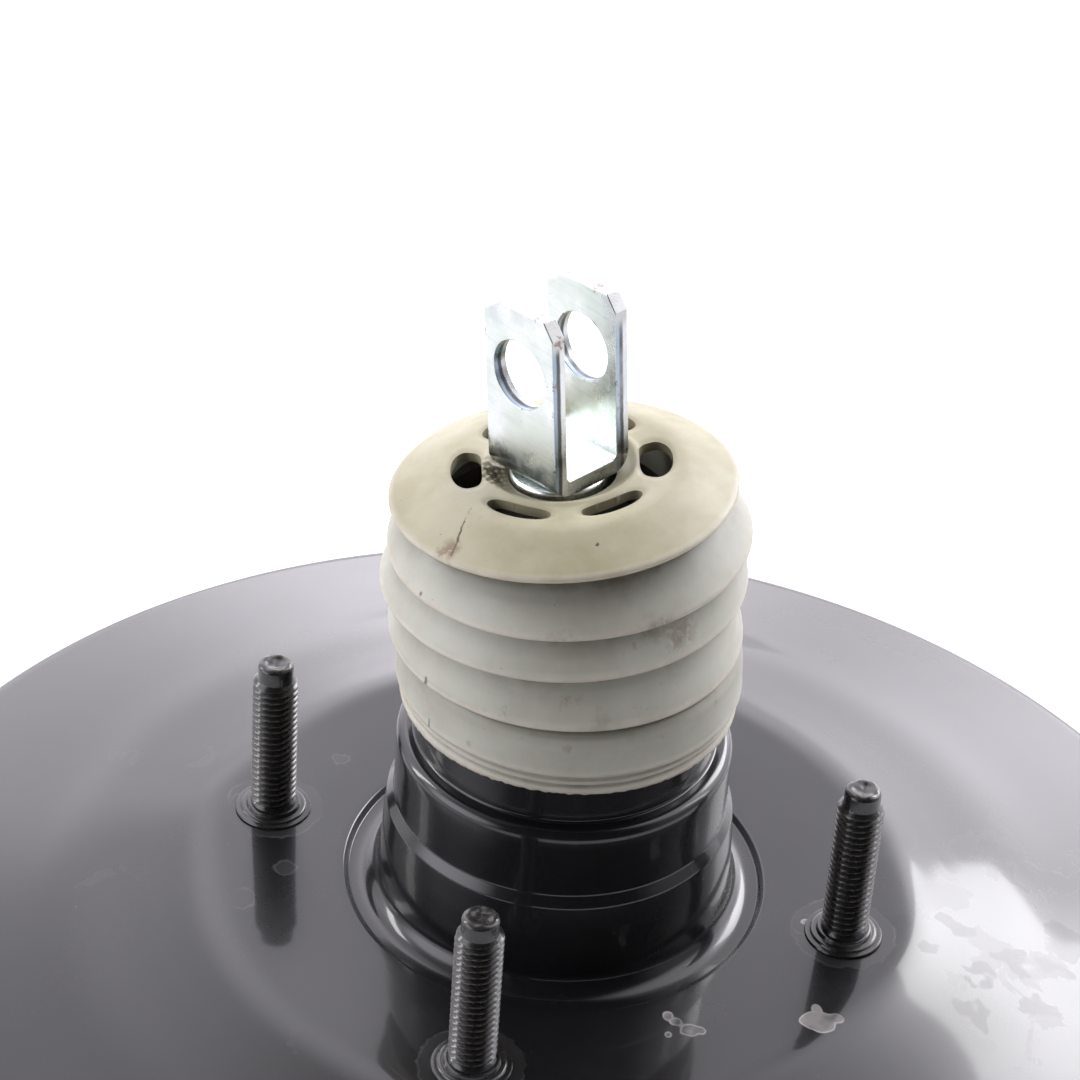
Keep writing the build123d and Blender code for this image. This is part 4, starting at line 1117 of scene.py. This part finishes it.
# ------------------------------------------------------------------ finishes of the carried CAD pieces
FINISH = {
    "rear_reinforcement_plate": M_STEEL, "front_reinforcement_plate": M_STEEL, "neck_seal": M_BLACK_RUBBER, "neck_guide_bush": M_NYLON,
    "neck_seal_retainer": M_STEEL, "front_seal": M_BLACK_RUBBER, "front_seal_retainer": M_STEEL, "check_valve_grommet": M_BLACK_RUBBER,
    "diaphragm": M_BLACK_RUBBER, "valve_body": M_HUB, "diaphragm_plate": M_STEEL, "reaction_disc": M_BLACK_RUBBER, "output_rod": M_STEEL,
    "output_rod_adjuster": M_ZINC_ROD, "output_rod_retainer": M_STEEL, "stop_key": M_STEEL, "poppet_valve": M_BLACK_RUBBER, "poppet_retainer": M_STEEL,
    "air_filter": M_FOAM, "filter_cap": M_NYLON, "plunger": M_STEEL, "ball_socket": M_ACETAL, "rod_spring_seat": M_STEEL,
    "check_valve_base": M_NYLON, "check_valve_cover": M_NYLON, "check_valve_poppet": M_BLACK_RUBBER,
}
for name, material in FINISH.items():
    ob = nodes[name]
    if not ob.material_slots:
        ob.data.materials.append(material)
    for s in ob.material_slots:
        s.material = material
    ob.data.shade_smooth()
    ob.data.set_sharp_from_angle(angle=math.radians(30))

# ------------------------------------------------------------------ stage
bm = bmesh.new()
bmesh.ops.create_circle(bm, cap_ends=True, radius=6.0, segments=96)
me = bpy.data.meshes.new("floor")
bm.to_mesh(me)
bm.free()
floor = bpy.data.objects.new("floor", me)
floor.location = (0, 0, -0.1385)
bpy.context.scene.collection.objects.link(floor)
n = Nodes("pale_floor")
n.set(color=n.mix(n.noise(3, 2), (0.80, 0.80, 0.80), (0.84, 0.84, 0.84)), rough=0.9, spec=0.1)
n.bsdf.inputs["Emission Color"].default_value = (1, 1, 1, 1)
n.link(n.math("MULTIPLY", n.add("ShaderNodeLightPath").outputs["Is Camera Ray"], 0.92), n.bsdf.inputs["Emission Strength"])
me.materials.append(n.m)

scene = bpy.context.scene
scene.view_settings.view_transform = "Standard"
scene.view_settings.look = "None"
scene.view_settings.exposure = 0.0

right = Vector((0.86671, -0.49536, 0)).normalized()
ahead = Vector((0.531, 0.847, 0)).normalized()


def toward(az, el):
    """Direction by azimuth from straight behind the object, clockwise, and by elevation."""
    a, e = math.radians(az), math.radians(el)
    return (right * math.sin(a) + ahead * math.cos(a)) * math.cos(e) + Vector((0, 0, 1)) * math.sin(e)


# a white studio tent, bright behind and at the sides, dark on the near side: azimuth, elevation, half width, strength
TENT = [(-135, 20, 60, 0.05), (-112, 16, 30, 2.8), (-90, 12, 42, 0.9), (-50, 8, 34, 1.20), (-18, 6, 30, 2.10), (14, 6, 30, 2.05), (46, 8, 34, 2.25), (90, 12, 42, 0.50),
        (-80, 48, 38, 0.62), (-40, 42, 34, 1.70), (-4, 42, 32, 1.95), (42, 33, 15, 3.0), (64, 48, 34, 2.30), (135, 20, 60, 0.03)]
world = bpy.data.worlds.new("studio")
scene.world = world
world.use_nodes = True
wt = world.node_tree
wt.nodes.clear()
wo = wt.nodes.new("ShaderNodeOutputWorld")
bg = wt.nodes.new("ShaderNodeBackground")
wt.links.new(bg.outputs[0], wo.inputs[0])
wc = wt.nodes.new("ShaderNodeTexCoord")
wn = wt.nodes.new("ShaderNodeVectorMath")
wn.operation = "NORMALIZE"
wt.links.new(wc.outputs["Generated"], wn.inputs[0])
total = None
for az, el, half, power in TENT:
    dot = wt.nodes.new("ShaderNodeVectorMath")
    dot.operation = "DOT_PRODUCT"
    dot.inputs[1].default_value = toward(az, el)
    wt.links.new(wn.outputs[0], dot.inputs[0])
    mr = wt.nodes.new("ShaderNodeMapRange")
    mr.interpolation_type = "SMOOTHSTEP"
    mr.inputs[1].default_value = math.cos(math.radians(half))
    mr.inputs[2].default_value = math.cos(math.radians(half * 0.25))
    mr.inputs[3].default_value = 0.0
    mr.inputs[4].default_value = power
    wt.links.new(dot.outputs["Value"], mr.inputs[0])
    if total is None:
        total = mr.outputs[0]
    else:
        add = wt.nodes.new("ShaderNodeMath")
        wt.links.new(total, add.inputs[0])
        wt.links.new(mr.outputs[0], add.inputs[1])
        total = add.outputs[0]
seen = wt.nodes.new("ShaderNodeLightPath")
most = wt.nodes.new("ShaderNodeMath")
most.operation = "MAXIMUM"
wt.links.new(total, most.inputs[0])
wt.links.new(seen.outputs["Is Camera Ray"], most.inputs[1])
wt.links.new(most.outputs[0], bg.inputs[1])
tone = wt.nodes.new("ShaderNodeMix")
tone.data_type = "RGBA"
tone.inputs[6].default_value = (1.0, 0.972, 1.04, 1)
tone.inputs[7].default_value = (1, 1, 1, 1)
wt.links.new(seen.outputs["Is Camera Ray"], tone.inputs[0])
wt.links.new(tone.outputs[2], bg.inputs[0])


def area(name, at, to, size, power, size_y=None, spread=180):
    d = bpy.data.lights.new(name, "AREA")
    d.shape = "RECTANGLE"
    d.size = size
    d.size_y = size_y or size
    d.energy = power
    d.spread = math.radians(spread)
    o = bpy.data.objects.new(name, d)
    o.location = at
    o.rotation_mode = "QUATERNION"
    o.rotation_quaternion = (Vector(to) - Vector(at)).to_track_quat("-Z", "Y")
    scene.collection.objects.link(o)
    return o


key = toward(42, 33.5) * 1.5
area("key_right", tuple(key), (0.03, -0.03, 0.0), 0.60, 8.0, 0.60)
strip = toward(78, 30) * 1.5
area("strip_right", tuple(strip), (0, 0, 0.02), 0.16, 2.6, 0.9)
strip = toward(-74, 26) * 1.5
area("strip_left", tuple(strip), (0, 0, 0.02), 0.20, 6.5, 0.9)

cam_d = bpy.data.cameras.new("camera")
cam_d.lens = 115.39
cam_d.sensor_width = 36
cam_d.sensor_fit = "HORIZONTAL"
cam_d.clip_start, cam_d.clip_end = 0.01, 50
cam = bpy.data.objects.new("camera", cam_d)
X = Vector((0.86671, -0.49536, 0.05845))
D = Vector((-0.24345, -0.52237, -0.81723))
F_ = Vector((0.43536, 0.69408, -0.57334))
rot = Matrix((X, -D, -F_)).transposed().to_4x4()
cam.matrix_world = Matrix.Translation((-0.24798, -0.38329, 0.38805)) @ rot
scene.collection.objects.link(cam)
scene.camera = cam
